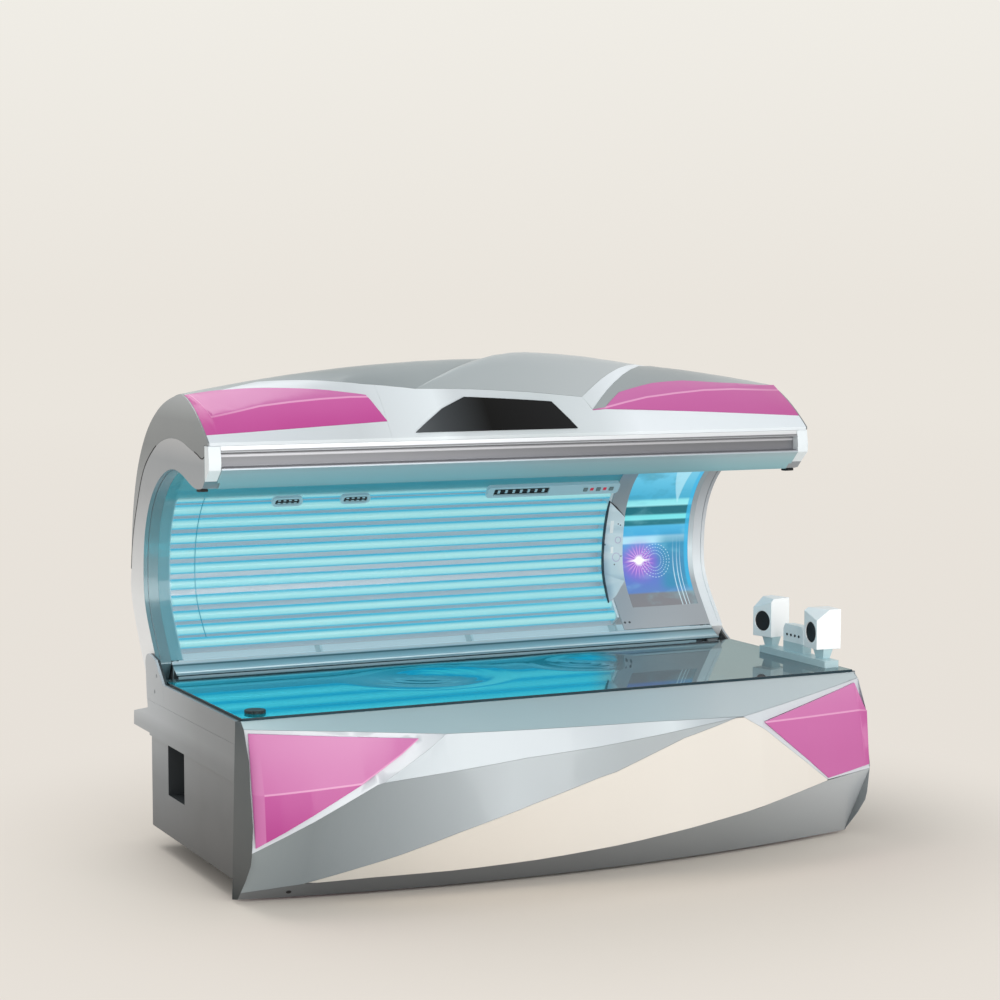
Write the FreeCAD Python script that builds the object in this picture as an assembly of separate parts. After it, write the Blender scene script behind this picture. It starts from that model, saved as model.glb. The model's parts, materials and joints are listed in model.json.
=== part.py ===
import FreeCAD, Part
import math
import os

# Clamshell tanning bed, in millimetres. While it is being modelled, X runs along the bed from
# the foot end (-) to the head end (+) about its middle, Y runs to the rear from the front edge
# of the bench sheet, and Z is the height above the floor. At the end every piece is shifted
# along Y, so that the origin is the middle of the bed's outer box, on the floor.

V = FreeCAD.Vector

# ---------------------------------------------------------------- driving dimensions
bed_length = 2309.0            # over the two side panels
canopy_inset = 19.0            # each end ring stands this far inside the side panel
corner_width = 14.5            # each slanted front corner, along the bed
bench_height = 596.0           # top of the acrylic sheet that is lain on
bench_depth = 824.0            # front edge to rear edge of that sheet
sheet_thickness = 8.0
front_bulge = 131.0            # how far the middle of the front stands out past its ends
panel_thickness = 6.0
seam = 0.4                     # open seam between neighbouring panels
touch = 0.3                    # clearance beside a moving or curved neighbour
running = 0.05                 # radial clearance of a pin in its bush

lamp_radius = 19.0
lamp_length = 1737.0
foot_margin = 93.5             # from the end ring's outer face to the lamps
canopy_lamp_count = 22
bench_lamp_count = 14
lampholder_width = 10.0

pivot_y = 929.0                # canopy hinge axis
pivot_z = 638.0
close_angle = 40.0             # swing of the canopy from open to closed, in degrees
pin_radius = 10.0

ring_width = 52.5
rib_thickness = 8.0
post_thickness = 6.0
skin_thickness = 5.0
crest_y = 584.0                # the line of greatest height along the canopy
crest_z = 1586.0               # its height at the ends
crest_rise = 107.0             # how much higher it is in the middle
brow_y = 308.0                 # front face of the canopy
brow_z = 1440.0                # where the face turns into the slope
brow_foot_z = 1429.0           # bottom of the white face
slope_power = 1.6
shell_break_y = 694.0          # seam between the top panels and the rear shell
stretch_z = 944.0              # the shell is the same all along below this height
hood_rise = 22.0
display_thickness = 3.0

spring_radius = 14.0
rod_radius = 6.0
spring_foot = (775.0, 342.0)   # eye of the gas spring on the base frame (y, z)
tail_eye = (987.0, 512.0)      # eye of the gas spring on the canopy arm (y, z)
spring_inset = 47.0            # from the end ring's outer face to the gas spring

knob_radius = 34.0
knob_height = 10.0
fan_radius = 110.0
foot_radius = 30.0
foot_height = 12.0
foot_inset = 154.5             # from the side panel to the middle of the outer feet
speaker_toes = (15.0, -4.0)    # how far the rear and the front speaker are turned, in degrees

half_bed = bed_length / 2
half_canopy = half_bed - canopy_inset
spring_x = half_canopy - spring_inset
half_front = half_bed - corner_width
lamp_start = foot_margin - half_canopy
lamps_end = lamp_start + lamp_length + lampholder_width + 1
# The lines between the panels are drawn for these half lengths, and stretched to the real ones.
drawn_front = 1140.0
drawn_canopy = 1135.5
front_stretch = half_front / drawn_front
canopy_stretch = half_canopy / drawn_canopy
sheet_bottom = bench_height - sheet_thickness

nodes = {}


# ---------------------------------------------------------------- small helpers
def mirrored(shape):
    return shape.mirror(V(0, 0, 0), V(1, 0, 0))


def both_ends(shape):
    return [shape, mirrored(shape)]


def box(x0, x1, y0, y1, z0, z1):
    return Part.makeBox(x1 - x0, y1 - y0, z1 - z0, V(x0, y0, z0))


def rod(start, end, radius):
    run = end - start
    return Part.makeCylinder(radius, run.Length, start, run)


def line_through(*points):
    # straight pieces through the points, as a function; it stays level past both ends
    def value(x):
        if x <= points[0][0]:
            return points[0][1]
        for (xa, ya), (xb, yb) in zip(points, points[1:]):
            if x <= xb:
                return ya + (yb - ya) * (x - xa) / (xb - xa)
        return points[-1][1]
    return value


def polygon_face(corners):
    return Part.Face(Part.makePolygon(list(corners) + [corners[0]]))


def side_plate(corners, x0, x1):
    # a flat plate whose outline is given as (y, z) corners, from x0 to x1
    return polygon_face([V(x0, y, z) for y, z in corners]).extrude(V(x1 - x0, 0, 0))


def smooth_edge(points):
    curve = Part.BSplineCurve()
    curve.interpolate(points)
    return curve.toShape()


def straight_edges(points):
    return [Part.LineSegment(a, b).toShape() for a, b in zip(points, points[1:])]


def outline_plate(edges, x0, x1):
    return Part.Face(Part.Wire(edges)).extrude(V(x1 - x0, 0, 0))


def loft(sections):
    wires = [Part.makePolygon(list(s) + [s[0]]) for s in sections]
    solid = Part.makeLoft(wires, True, True)
    return solid if solid.Volume > 0 else Part.makeLoft(wires[::-1], True, True)


def place(name, shapes):
    solids = []
    for shape in shapes:
        solids += shape.Solids
    nodes[name] = solids


# ---------------------------------------------------------------- base: front panels
# Height of each bend of the front, and how far it stands out there at the ends.
front_profile = line_through((8, 47), (89, -37), (145, -84), (176, -95), (271, -110),
                             (380, -89), (470, -79), (565, -31), (590, -2))
skirt_z = 10.0
apron_z = 587.0


def front_y(x, z):
    return front_profile(z) - front_bulge * (1 - (x / drawn_front) ** 2)


front_steps = [drawn_front * i / 12 for i in range(-12, 13)]


def front_point(x, z, out=0.0):
    return V(x * front_stretch, front_y(x, z) - out, z)


def steps_between(start, end, extra):
    inside = [x for x in list(extra) + front_steps if start < x < end]
    return sorted(set([start, end] + inside))


def facet(start, end, top, bottom, corners=(), lift=0.0, crease=None):
    # a panel between two boundary lines of the front, flat from one to the other; crease gives
    # the height and the swell of a bend between them
    sections = []
    for x in steps_between(start, end, corners):
        high, low = top(x) - seam, bottom(x) + seam
        if high - low < 0.3:
            high, low = (high + low) / 2 + 0.15, (high + low) / 2 - 0.15
        section = [front_point(x, high, lift)]
        if crease:
            height, swell = crease(x)
            height = min(max(height, low + 0.1), high - 0.1)
            share = (high - height) / (high - low)
            between = front_y(x, high) * (1 - share) + front_y(x, low) * share
            section.append(V(x * front_stretch, between - lift - swell, height))
        section.append(front_point(x, low, lift))
        section.append(front_point(x, low, lift - panel_thickness))
        section.append(front_point(x, high, lift - panel_thickness))
        sections.append(section)
    return loft(sections)


apron_line = line_through((-1140, 566), (-815, 547), (-506, 524), (-74, 516), (239, 510),
                          (592, 496), (1140, 569))
white_foot = line_through((-745, 382), (-726, 387), (-477, 410), (-247, 433), (15, 449),
                          (556, 494.6), (592, 494.3))
left_frame_foot = line_through((-1140, 188), (-745, 382), (-726, 387), (-506, 524))
grey_head = line_through((-1140, 188), (-745, 382), (-726, 387), (-477, 410), (-247, 433),
                         (15, 449), (556, 494.6))
grey_foot = line_through((-1140, 38), (-955, 62), (-913, 76), (-483, 214), (-248, 283),
                         (9, 350), (72, 363), (338, 449), (556, 493.6))
pale_head = line_through((-955, 62), (-913, 76), (-483, 214), (-248, 283), (9, 350),
                         (72, 363), (338, 449), (556, 493.6), (592, 493), (676, 444), (939, 246))
lower_head = line_through((-1140, 38), (-955, 62), (-724, 70), (-447, 72), (-162, 85),
                          (137, 111), (634, 181), (939, 243), (1140, 262))
right_frame_foot = line_through((592, 493), (676, 444), (939, 246), (1140, 262))

left_lens_top = line_through((-1129, 554), (-602, 516))
left_lens_foot = line_through((-1129, 205), (-796, 385), (-602, 513))
left_lens_crease = line_through((-1129, 367), (-1097, 367), (-796, 388), (-602, 514))
left_lens_swell = line_through((-1129, 0), (-1097, 14), (-796, 1), (-602, 0))
right_lens_top = line_through((674, 472), (1116, 556), (1136, 470))
right_lens_foot = line_through((674, 469), (943, 252), (1136, 277))
right_lens_crease = line_through((674, 470), (1136, 464))
right_lens_swell = line_through((674, 0), (943, 7), (1136, 10))


def lens_pocket(start, end, top, foot, corners):
    sections = []
    for x in steps_between(start, end, corners):
        high, low = top(x) + 0.2, foot(x) - 0.2
        sections.append([front_point(x, high, 30), front_point(x, low, 30),
                         front_point(x, low, -30), front_point(x, high, -30)])
    return loft(sections)


def left_frame_edge(x):
    # the slanted line on which the white facet meets the left lens frame
    return line_through((-745, 382.5), (-726, 387.5), (-506, 524))(x) if x < -506 else 1e4


def make_front():
    edge = bench_height - sheet_thickness
    sections = []
    for x in steps_between(-drawn_front, drawn_front, (-815, -506, -74, 239, 592)):
        low, real_x = apron_line(x) + seam, x * front_stretch
        sections.append([V(real_x, 1.0, edge - 1), front_point(x, low),
                         front_point(x, low, -panel_thickness),
                         V(real_x, 1.0 + panel_thickness, edge - 1 - panel_thickness)])
    place("front_apron", [loft(sections)])
    place("front_white_facet", [facet(
        -745, 592, lambda x: min(apron_line(x), left_frame_edge(x)), white_foot,
        (-726, -506, -477, -247, -74, 15, 239, 556))])
    place("front_grey_facet", [facet(-drawn_front, 556, grey_head, grey_foot,
                                     (-955, -913, -745, -726, -483, -248, 9, 72, 338))])
    place("front_pale_facet", [facet(-955, 939, pale_head, lower_head,
                                     (-913, -724, -483, -248, 9, 72, 338, 556, 592, 676))])
    place("front_lower_panel", [facet(-drawn_front, drawn_front, lower_head,
                                      lambda x: skirt_z - seam, (-955, -724, -162, 634, 939))])
    left_frame = facet(-drawn_front, -506, apron_line, left_frame_foot, (-815, -745, -726))
    left_frame = left_frame.cut(lens_pocket(-1129, -602, left_lens_top, left_lens_foot,
                                            (-1097, -796, -745, -726)))
    right_frame = facet(592, drawn_front, apron_line, right_frame_foot, (676, 939))
    right_frame = right_frame.cut(lens_pocket(674, 1136, right_lens_top, right_lens_foot,
                                              (943, 1116)))
    place("front_lens_frames", [left_frame, right_frame])
    left = facet(-1129, -602, left_lens_top, left_lens_foot, (-1097, -796, -745, -726), 2.0,
                 lambda x: (left_lens_crease(x), left_lens_swell(x)))
    right = facet(674, 1136, right_lens_top, right_lens_foot, (943, 1116), 2.0,
                  lambda x: (right_lens_crease(x), right_lens_swell(x)))
    place("front_lenses", [left, right])


# ---------------------------------------------------------------- base: sides, rear and inside
side_front = line_through((8, 57), (71, 52), (588, 10))
band_seam, band_foot = 512.0, 389.0
side_foot, side_rear = 71.0, 927.0
band_inner = half_canopy + 0.8
inner_side = half_bed - 12
panel_outer = half_bed - 8
tower_front = 763.0
ledge_outline = ((944, 484), (1112, 447), (1115, 397), (957, 397), (957, 401), (1111, 401),
                 (1108, 443.5), (944, 480))
wall_y = (917.0, 921.0)
beam_y, beam_z = (905.0, 955.0), (400.0, 440.0)
tube = 40.0
tube_z = (75.0, 115.0)
end_tube_x = (inner_side - 38.5, inner_side - 6.5)
near_tube, far_tube = 110.0, 877.0
tray_depth = 62.0
grip_y, grip_z, grip_depth = (561.0, 740.0), (212.0, 388.0 - 2), 58.0
fan_x, fan_z = half_bed - 554.5, 245.0
gland_x, gland_z, gland_hole = 254.5 - half_bed, 150.0, 12.0


def grip_wedge(grow, reach):
    # a pocket that is deepest at its rear end
    front = grip_y[0] - grow
    corners = [(-panel_outer - reach, front), (-panel_outer - reach, grip_y[1] + grow),
               (-panel_outer + grip_depth + grow, grip_y[1] + grow), (-panel_outer + 2 * grow, front)]
    face = polygon_face([V(x, y, grip_z[0] - grow) for x, y in corners])
    return face.extrude(V(0, 0, grip_z[1] - grip_z[0] + 2 * grow))


def make_sides():
    upper = side_plate([(side_front(sheet_bottom), sheet_bottom), (tower_front, sheet_bottom),
                        (tower_front, band_seam + seam),
                        (side_front(band_seam), band_seam + seam)], -half_bed, -band_inner)
    lower = side_plate([(side_front(band_seam), band_seam), (950, band_seam), (944, 484),
                        (1112, 447), (1115, 397), (side_rear, 397), (side_rear, band_foot),
                        (side_front(band_foot), band_foot)], -half_bed, -inner_side)
    panel = side_plate([(side_front(band_foot), band_foot), (side_rear, band_foot),
                        (side_rear, side_foot), (side_front(side_foot), side_foot)],
                       -panel_outer, -inner_side)
    panel = panel.fuse(grip_wedge(2.5, 0)).cut(grip_wedge(0, 5))
    place("side_panels", both_ends(upper) + both_ends(lower) + both_ends(panel))


def make_corner_trims():
    # the slanted corner between each side and the front follows the bends of the front
    sections = []
    for z in (586, 565, 470, 380, 271, 176, 145, 89, skirt_z):
        rear = side_front(z) - touch
        sections.append([V(-half_bed, rear, z), V(-half_front - touch, front_y(drawn_front, z), z),
                         V(-half_front - touch, rear, z)])
    place("front_corner_trims", both_ends(loft(sections)))


def make_rear():
    wall = box(-inner_side, inner_side, *wall_y, side_foot, 397)
    for row in range(-3, 4):
        half = math.sqrt((fan_radius - 6) ** 2 - (row * 28) ** 2)
        wall = wall.cut(box(fan_x - half, fan_x + half, wall_y[0] - 1, wall_y[1] + 1,
                            fan_z + row * 28 - 8, fan_z + row * 28 + 8))
    wall = wall.cut(rod(V(gland_x, wall_y[0] - 1, gland_z), V(gland_x, wall_y[1] + 1, gland_z),
                        gland_hole))
    ledge = side_plate(ledge_outline, -inner_side, inner_side)
    for side in (-1, 1):
        x = side * spring_x
        ledge = ledge.cut(box(x - 13, x + 13, 940, 980, 460, 490))
        for outer in (post_outer, inner_post_outer):
            near, far = sorted((side * (outer + touch), side * (outer - post_thickness - touch)))
            ledge = ledge.cut(box(near, far, 940, post_y[1] + touch, 470, 490))
    place("rear_panels", [wall, ledge])


def strut(x, z0, z1):
    # a tube from the front rail of the frame to the back of the front panels
    ends = [front_y(cx / front_stretch, cz) for cx in (x, x + tube) for cz in (z0, z1)]
    return box(x, x + tube, max(ends) + panel_thickness + 12, near_tube, z0, z1)


def make_frame():
    low, high = tube_z
    top = sheet_bottom - tray_depth
    tubes = [box(-inner_side, inner_side, y, y + tube, low, high) for y in (near_tube, far_tube)]
    inner = fan_x - 260
    for x0, x1, rear in ((-end_tube_x[1], -end_tube_x[0], wall_y[0]),
                         (-inner - tube, -inner, 860), (inner, inner + tube, 860),
                         (*end_tube_x, wall_y[0])):
        upright = rear - tube
        tubes.append(box(x0, x1, near_tube + tube, far_tube, low, high))
        tubes.append(box(x0, x1, near_tube, near_tube + tube, high, top - tube))
        tubes.append(box(x0, x1, near_tube, rear, top - tube, top))
        tubes.append(box(x0, x1, upright, rear, high, top - tube))
        if rear < wall_y[0]:
            tubes += [strut(x0, low, high), strut(x0, top - tube - 26, top - 26)]
            tubes.append(box(x0, x1, far_tube + 28, far_tube + tube, high, beam_z[0]))
    for x in (72.5 - inner_side, inner_side - 112.5):
        tubes.append(box(x, x + tube, far_tube + 28, far_tube + tube, high, beam_z[0]))
    tubes.append(box(62.5 - inner_side, inner_side - 62.5, *beam_y, *beam_z))
    frame = tubes[0].multiFuse(tubes[1:])
    pan = box(12.5 - inner_side, inner_side - 12.5, near_tube + 5, far_tube + 35, high, high + 2)
    frame = frame.fuse(pan)
    for side in (-1, 1):
        x0, x1 = sorted((side * (spring_x - 16), side * (spring_x - 24)))
        y, z = spring_foot
        frame = frame.fuse(box(x0, x1, y - 18, y + 22, high, z + 18))
        frame = frame.fuse(rod(V(side * (spring_x - 20), y, z), V(side * (spring_x + 10), y, z),
                               rod_radius))
    place("base_frame", [frame.removeSplitter()])
    feet = []
    for x in (foot_inset - half_bed, 0, half_bed - foot_inset):
        for y in (near_tube + tube / 2, far_tube + tube / 2):
            pad = Part.makeCylinder(foot_radius, foot_height, V(x, y, 0))
            feet.append(pad.fuse(Part.makeCylinder(8, low, V(x, y, 0))))
    place("levelling_feet", feet)


def is_upright(edge):
    a, b = edge.Vertexes[0].Point, edge.Vertexes[-1].Point
    return abs(a.x - b.x) < 0.01 and abs(a.y - b.y) < 0.01


knob_x, knob_y = 72.5 - half_canopy, 83.0


def make_bench():
    end = half_canopy - 1.5
    floor_z = sheet_bottom - tray_depth
    tray = box(-end, end, 9, bench_depth, floor_z, sheet_bottom)
    tray = tray.cut(box(-end + 2, end - 2, 11, bench_depth - 2, floor_z + 2, sheet_bottom - 2))
    tray = tray.cut(box(-end + 16, end - 16, 21, bench_depth - 12, floor_z + 2, sheet_bottom + 1))
    cover = box(lamps_end + 2, end - 18, 23, bench_depth - 14, sheet_bottom - 6, sheet_bottom - 4)
    cover = cover.fuse(box(lamps_end + 2, lamps_end + 4, 23, bench_depth - 14, floor_z + 2, sheet_bottom - 4))
    place("bench_reflector", [tray, cover])
    sheet = box(-half_canopy, half_canopy, 0, bench_depth, sheet_bottom, bench_height)
    sheet = sheet.cut(Part.makeCylinder(5 + running, 20, V(knob_x, knob_y, sheet_bottom - 5)))
    place("bench_acrylic", [sheet])
    first, last = 48.0, bench_depth - 42
    pitch = (last - first) / (bench_lamp_count - 1)
    place("bench_lamps", [Part.makeCylinder(lamp_radius, lamp_length,
                                            V(lamp_start, first + i * pitch, sheet_bottom - 27),
                                            V(1, 0, 0)) for i in range(bench_lamp_count)])
    bars = [box(x, x + lampholder_width, 23, bench_depth - 14, floor_z + 2, sheet_bottom - 4)
            for x in (lamp_start - lampholder_width, lamp_start + lamp_length)]
    place("bench_lampholders", bars)
    knob = Part.makeCylinder(knob_radius, knob_height, V(knob_x, knob_y, bench_height))
    knob = knob.makeFillet(2.5, [knob.Edges[0]])
    for i in range(12):
        flute = Part.makeCylinder(4, 30, V(knob_x + knob_radius + 2, knob_y, bench_height))
        flute.rotate(V(knob_x, knob_y, 0), V(0, 0, 1), 30 * i)
        knob = knob.cut(flute)
    stem = Part.makeCylinder(5, 18, V(knob_x, knob_y, bench_height - 18))
    catch = box(knob_x - 6, knob_x + 6, knob_y - 6, knob_y + 60, bench_height - 22,
                bench_height - 18)
    place("lock_knob", [knob.fuse(stem).fuse(catch)])


speaker_x, speaker_rear_y, speaker_front_y = half_bed - 48.5, 492.0, 148.0
speaker_foot, speaker_head = 656.0, 798.0
speaker_half_depth, speaker_half_width = 49.0, 46.0
tray_top = bench_height + 24


def bracket(y):
    # widens from the tray up to the foot of a speaker, which turns on the stem in its middle
    levels = ((tray_top - 1, 20, 24), (speaker_foot - 6, 25, 34), (speaker_foot - touch, 25, 34))
    solid = loft([[V(speaker_x + 8 - dx, y - dy, z), V(speaker_x + 8 + dx - 12, y - dy, z),
                   V(speaker_x + 8 + dx - 12, y + dy, z), V(speaker_x + 8 - dx, y + dy, z)]
                  for z, dx, dy in levels])
    return solid.fuse(rod(V(speaker_x, y, tray_top), V(speaker_x, y, speaker_foot), 12))


def speaker_case(y, outer):
    # outer is 1 where the low corner of the top is at the rear, and -1 where it is in front
    left, right = speaker_x - speaker_half_depth, speaker_x + speaker_half_depth
    case = box(left, right, y - speaker_half_width, y + speaker_half_width, speaker_foot,
               speaker_head)
    low, high = y + outer * speaker_half_width, y - outer * speaker_half_width
    a, b = V(left, high, speaker_head - 10), V(left, low, speaker_head - 38)
    c = V(speaker_x + 4, low, speaker_head)
    normal = (b - a).cross(c - a)
    cutter = Part.makeBox(400, 400, 200, V(-200, -200, 0))
    normal = normal * (1 if normal.z > 0 else -1)
    cutter.Placement = FreeCAD.Placement(a, FreeCAD.Rotation(V(0, 0, 1), normal))
    return case.cut(cutter)


def make_speakers():
    tray = box(speaker_x - 44, speaker_x + 16, 63, 505, bench_height, tray_top)
    tray = tray.makeFillet(6, [e for e in tray.Edges if is_upright(e)])
    console = side_plate([(243, tray_top), (243, 700), (254, 718), (362, 718), (374, 700),
                          (374, tray_top)], speaker_x - 21, speaker_x + 15)
    for y in (270, 296, 322, 348):
        console = console.cut(rod(V(speaker_x - 26, y, 680), V(speaker_x - 11, y, 680), 5))
    whole = tray.fuse(console)
    for y in (speaker_rear_y, speaker_front_y):
        whole = whole.fuse(bracket(y))
    place("speaker_tray", [whole])
    for name, y, toe, outer in (("speaker_rear", speaker_rear_y, speaker_toes[0], 1),
                                ("speaker_front", speaker_front_y, speaker_toes[1], -1)):
        face = speaker_x - speaker_half_depth
        middle_z = speaker_foot + 58
        case = speaker_case(y, outer)
        case = case.cut(rod(V(face - 1, y, middle_z), V(face + 8, y, middle_z), 37.3))
        cone = rod(V(face + 8, y, middle_z), V(face + 3, y, middle_z), 37)
        cone = cone.cut(Part.makeCone(8, 32, 4.5, V(face + 7, y, middle_z), V(-1, 0, 0)))
        pair = [case, cone]
        for shape in pair:
            shape.rotate(V(speaker_x, y, 0), V(0, 0, 1), toe)
        place(name, pair)


def make_inside():
    pan_top = tube_z[1] + 2
    cases = []
    for i in range(8):
        x = -900 + i * 70
        case = box(x, x + 42, 420, 700, pan_top, pan_top + 40)
        cases.append(case.fuse(box(x + 8, x + 34, 406, 714, pan_top, pan_top + 3)))
    place("ballasts", cases)
    x0, x1 = fan_x - 170, fan_x + 130
    cabinet = box(x0, x1, 430, 610, pan_top, pan_top + 120)
    lid = box(x0 - 4, x1 + 4, 426, 614, pan_top + 120, pan_top + 126)
    place("electrical_box", [cabinet.fuse(lid)])
    front, rear = wall_y[0] - 70, wall_y[0]
    reach = fan_radius + 12
    housing = box(fan_x - reach, fan_x + reach, front, rear, fan_z - reach, fan_z + reach)
    housing = housing.cut(rod(V(fan_x, front - 1, fan_z), V(fan_x, rear + 1, fan_z), fan_radius))
    spider = box(fan_x - fan_radius - 1, fan_x + fan_radius + 1, front, front + 6,
                 fan_z - 8, fan_z + 8)
    motor = rod(V(fan_x, front, fan_z), V(fan_x, front + 18, fan_z), 30)
    axle = rod(V(fan_x, front + 18, fan_z), V(fan_x, rear - 12, fan_z), 4)
    place("fan_housing", [housing.fuse(spider).fuse(motor).fuse(axle)])
    hub_front, hub_rear = front + 20, rear - 14
    rotor = rod(V(fan_x, hub_front, fan_z), V(fan_x, hub_rear, fan_z), 32)
    for i in range(7):
        blade = box(28, fan_radius - 5, -17, 17, -1.5, 1.5)
        blade.rotate(V(0, 0, 0), V(1, 0, 0), 40)
        blade.rotate(V(0, 0, 0), V(0, 1, 0), 360.0 / 7 * i)
        blade.translate(V(fan_x, (hub_front + hub_rear) / 2, fan_z))
        rotor = rotor.fuse(blade)
    bore = rod(V(fan_x, hub_front - 1, fan_z), V(fan_x, hub_rear + 1, fan_z), 4 + running)
    place("fan_rotor", [rotor.cut(bore)])
    centre = V(gland_x, 0, gland_z)

    def ring(y0, y1, radius):
        return rod(centre + V(0, y0, 0), centre + V(0, y1, 0), radius)
    gland = ring(wall_y[0] - 12, wall_y[1] + 22, gland_hole - 0.2)
    gland = gland.fuse(ring(wall_y[1], wall_y[1] + 8, 18)).fuse(ring(wall_y[0] - 6, wall_y[0], 17))
    place("cable_gland", [gland.cut(ring(wall_y[0] - 20, wall_y[1] + 30, 6))])


# ---------------------------------------------------------------- hinge and gas springs
post_y = (908.0, 950.0)
post_head = 21.0
post_outer = half_canopy - ring_width - 4
rib_outer = post_outer - post_thickness - 3
inner_post_outer = rib_outer - rib_thickness - 3
tower_inner = half_bed - 17.5
tower_head = 36.0


def hinge_rod(x0, x1, radius):
    return rod(V(x0, pivot_y, pivot_z), V(x1, pivot_y, pivot_z), radius)


def make_hinge():
    plates = []
    for outer in (post_outer, inner_post_outer):
        x0, x1 = -outer, -outer + post_thickness
        post = box(x0, x1, *post_y, beam_z[1], pivot_z).fuse(hinge_rod(x0, x1, post_head))
        plates += both_ends(post.cut(hinge_rod(x0 - 1, x1 + 1, pin_radius + running)))
    place("hinge_posts", plates)
    corner = (tower_front + seam, band_seam + seam)
    cover = side_plate([corner, (tower_front + seam, 586), (850, 662),
                        (pivot_y, pivot_z + tower_head), (pivot_y, pivot_z),
                        (pivot_y + tower_head, pivot_z), (952, band_seam + seam)],
                       -half_bed, -tower_inner)
    cover = cover.fuse(hinge_rod(-half_bed, -tower_inner, tower_head)).removeSplitter()
    # the cover at the head end is lower and has no round head
    low_cover = side_plate([corner, (tower_front + seam, 586), (855, 586), (905, 615),
                            (948, 649), (965, pivot_z), (952, band_seam + seam)],
                           tower_inner, half_bed)
    shapes = []
    for side, whole, places in ((-1, cover, ((836, 609), (859, 552))),
                                (1, low_cover, ((905, 592), (859, 552)))):
        out = V(side, 0, 0)
        for y, z in places:
            outer = V(side * (half_bed + 1), y, z)
            whole = whole.cut(rod(outer, outer - out * 3, 7)).cut(rod(outer, outer - out * 40, 4))
            head = rod(outer - out * 1.5, outer - out * 3, 6.7)
            shapes.append(head.fuse(rod(outer - out * 3, outer - out * 18, 3.95)))
        shapes.append(whole)
    place("tower_covers", shapes)
    start, stop = -post_outer - 3.5, -inner_post_outer + post_thickness + 4
    pin = hinge_rod(start, stop, pin_radius)
    pin = pin.fuse(hinge_rod(start, -post_outer - 0.5, 15))
    pin = pin.fuse(hinge_rod(-inner_post_outer + post_thickness + 0.5, stop, 15))
    place("pivot_pins", both_ends(pin))


spring_along = V(0, tail_eye[0] - spring_foot[0], tail_eye[1] - spring_foot[1]).normalize()
cylinder_length = 145.0


def make_springs():
    for side, word in ((-1, "left"), (1, "right")):
        foot = V(side * spring_x, *spring_foot)
        eye = V(side * spring_x, *tail_eye)
        across = V(6, 0, 0)

        def along(start, end, radius):
            return rod(foot + spring_along * start, foot + spring_along * end, radius)
        body = along(15, cylinder_length, spring_radius)
        body = body.cut(along(22, cylinder_length - 8, spring_radius - 3))
        body = body.cut(along(cylinder_length - 9, cylinder_length + 1, rod_radius + running))
        lug = rod(foot - across, foot + across, 15).fuse(along(4, 16, 8))
        hole = rod(foot - across * 2, foot + across * 2, rod_radius + running)
        place(word + "_spring_cylinder", [body.fuse(lug).cut(hole)])
        ring = rod(eye - across, eye + across, 14).cut(rod(eye - across * 2, eye + across * 2, 8))
        reach = (eye - foot).Length - 12
        bar = along(24, reach, rod_radius).fuse(along(24, 36, spring_radius - 3.3))
        place(word + "_spring_rod", [ring.fuse(bar).cut(rod(eye - across * 2, eye + across * 2, 8))])


# ---------------------------------------------------------------- canopy: the tunnel
# The inner surface of the open canopy, from its rear foot up and over to its front lip (y, z).
tunnel_outline = ((894, 646), (958, 730), (1028, 850), (1037, 960), (1008, 1105), (930, 1222),
                  (800, 1305), (670, 1331), (553, 1311), (463, 1286), (393, 1285))
tunnel = Part.BSplineCurve()
tunnel.interpolate([V(0, y, z) for y, z in tunnel_outline])
tunnel_length = tunnel.length()


def tunnel_frame(distance):
    # the point at this distance along the tunnel, the way along it and the way out of it
    u = tunnel.parameterAtDistance(min(max(distance, 0.01), tunnel_length - 0.01))
    along = tunnel.tangent(u)[0]
    return tunnel.value(u), along, V(0, along.z, -along.y)


def tunnel_edge(x, offset, start, end):
    count = max(int((end - start) / 60), 2)
    points = []
    for i in range(count + 1):
        point, along, out = tunnel_frame(start + (end - start) * i / count)
        points.append(point + out * offset + V(x, 0, 0))
    return points


def tunnel_band(x0, x1, near, far, start=0.0, end=tunnel_length):
    # a curved slab between two distances behind the tunnel surface
    lower = tunnel_edge(x0, near, start, end)
    upper = tunnel_edge(x0, far, start, end)
    edges = [smooth_edge(lower), Part.LineSegment(lower[-1], upper[-1]).toShape(),
             smooth_edge(upper[::-1]), Part.LineSegment(upper[0], lower[0]).toShape()]
    return outline_plate(edges, x0, x1)


def folded_band(x0, x1, near, far, start, end):
    # the same slab of sheet metal, folded every 22 mm
    count = int((end - start) / 22)
    frames = [tunnel_frame(start + (end - start) * i / count) for i in range(count + 1)]
    lower = [point + out * near + V(x0, 0, 0) for point, along, out in frames]
    upper = [point + out * far + V(x0, 0, 0) for point, along, out in frames]
    return polygon_face(lower + upper[::-1]).extrude(V(x1 - x0, 0, 0))


def on_tunnel(shape, x, distance):
    # carries a piece modelled about the origin, Y along the tunnel and Z into it, to its place
    point, along, out = tunnel_frame(distance)
    turn = FreeCAD.Matrix(1, 0, 0, x, 0, along.y, -out.y, point.y,
                          0, along.z, -out.z, point.z, 0, 0, 0, 1)
    return shape.transformed(turn)


acrylic_end = lamps_end
window = (97.0, tunnel_length - 30)
head_rib_x = lamps_end
lamp_depth = 8 + lamp_radius
reflector_depth = 62.0
ring_inner = half_canopy - ring_width
glass_start, glass_end = acrylic_end + 67, ring_inner - 21
face_lamp_margin = 14.0
frame_depth = 110.0


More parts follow.
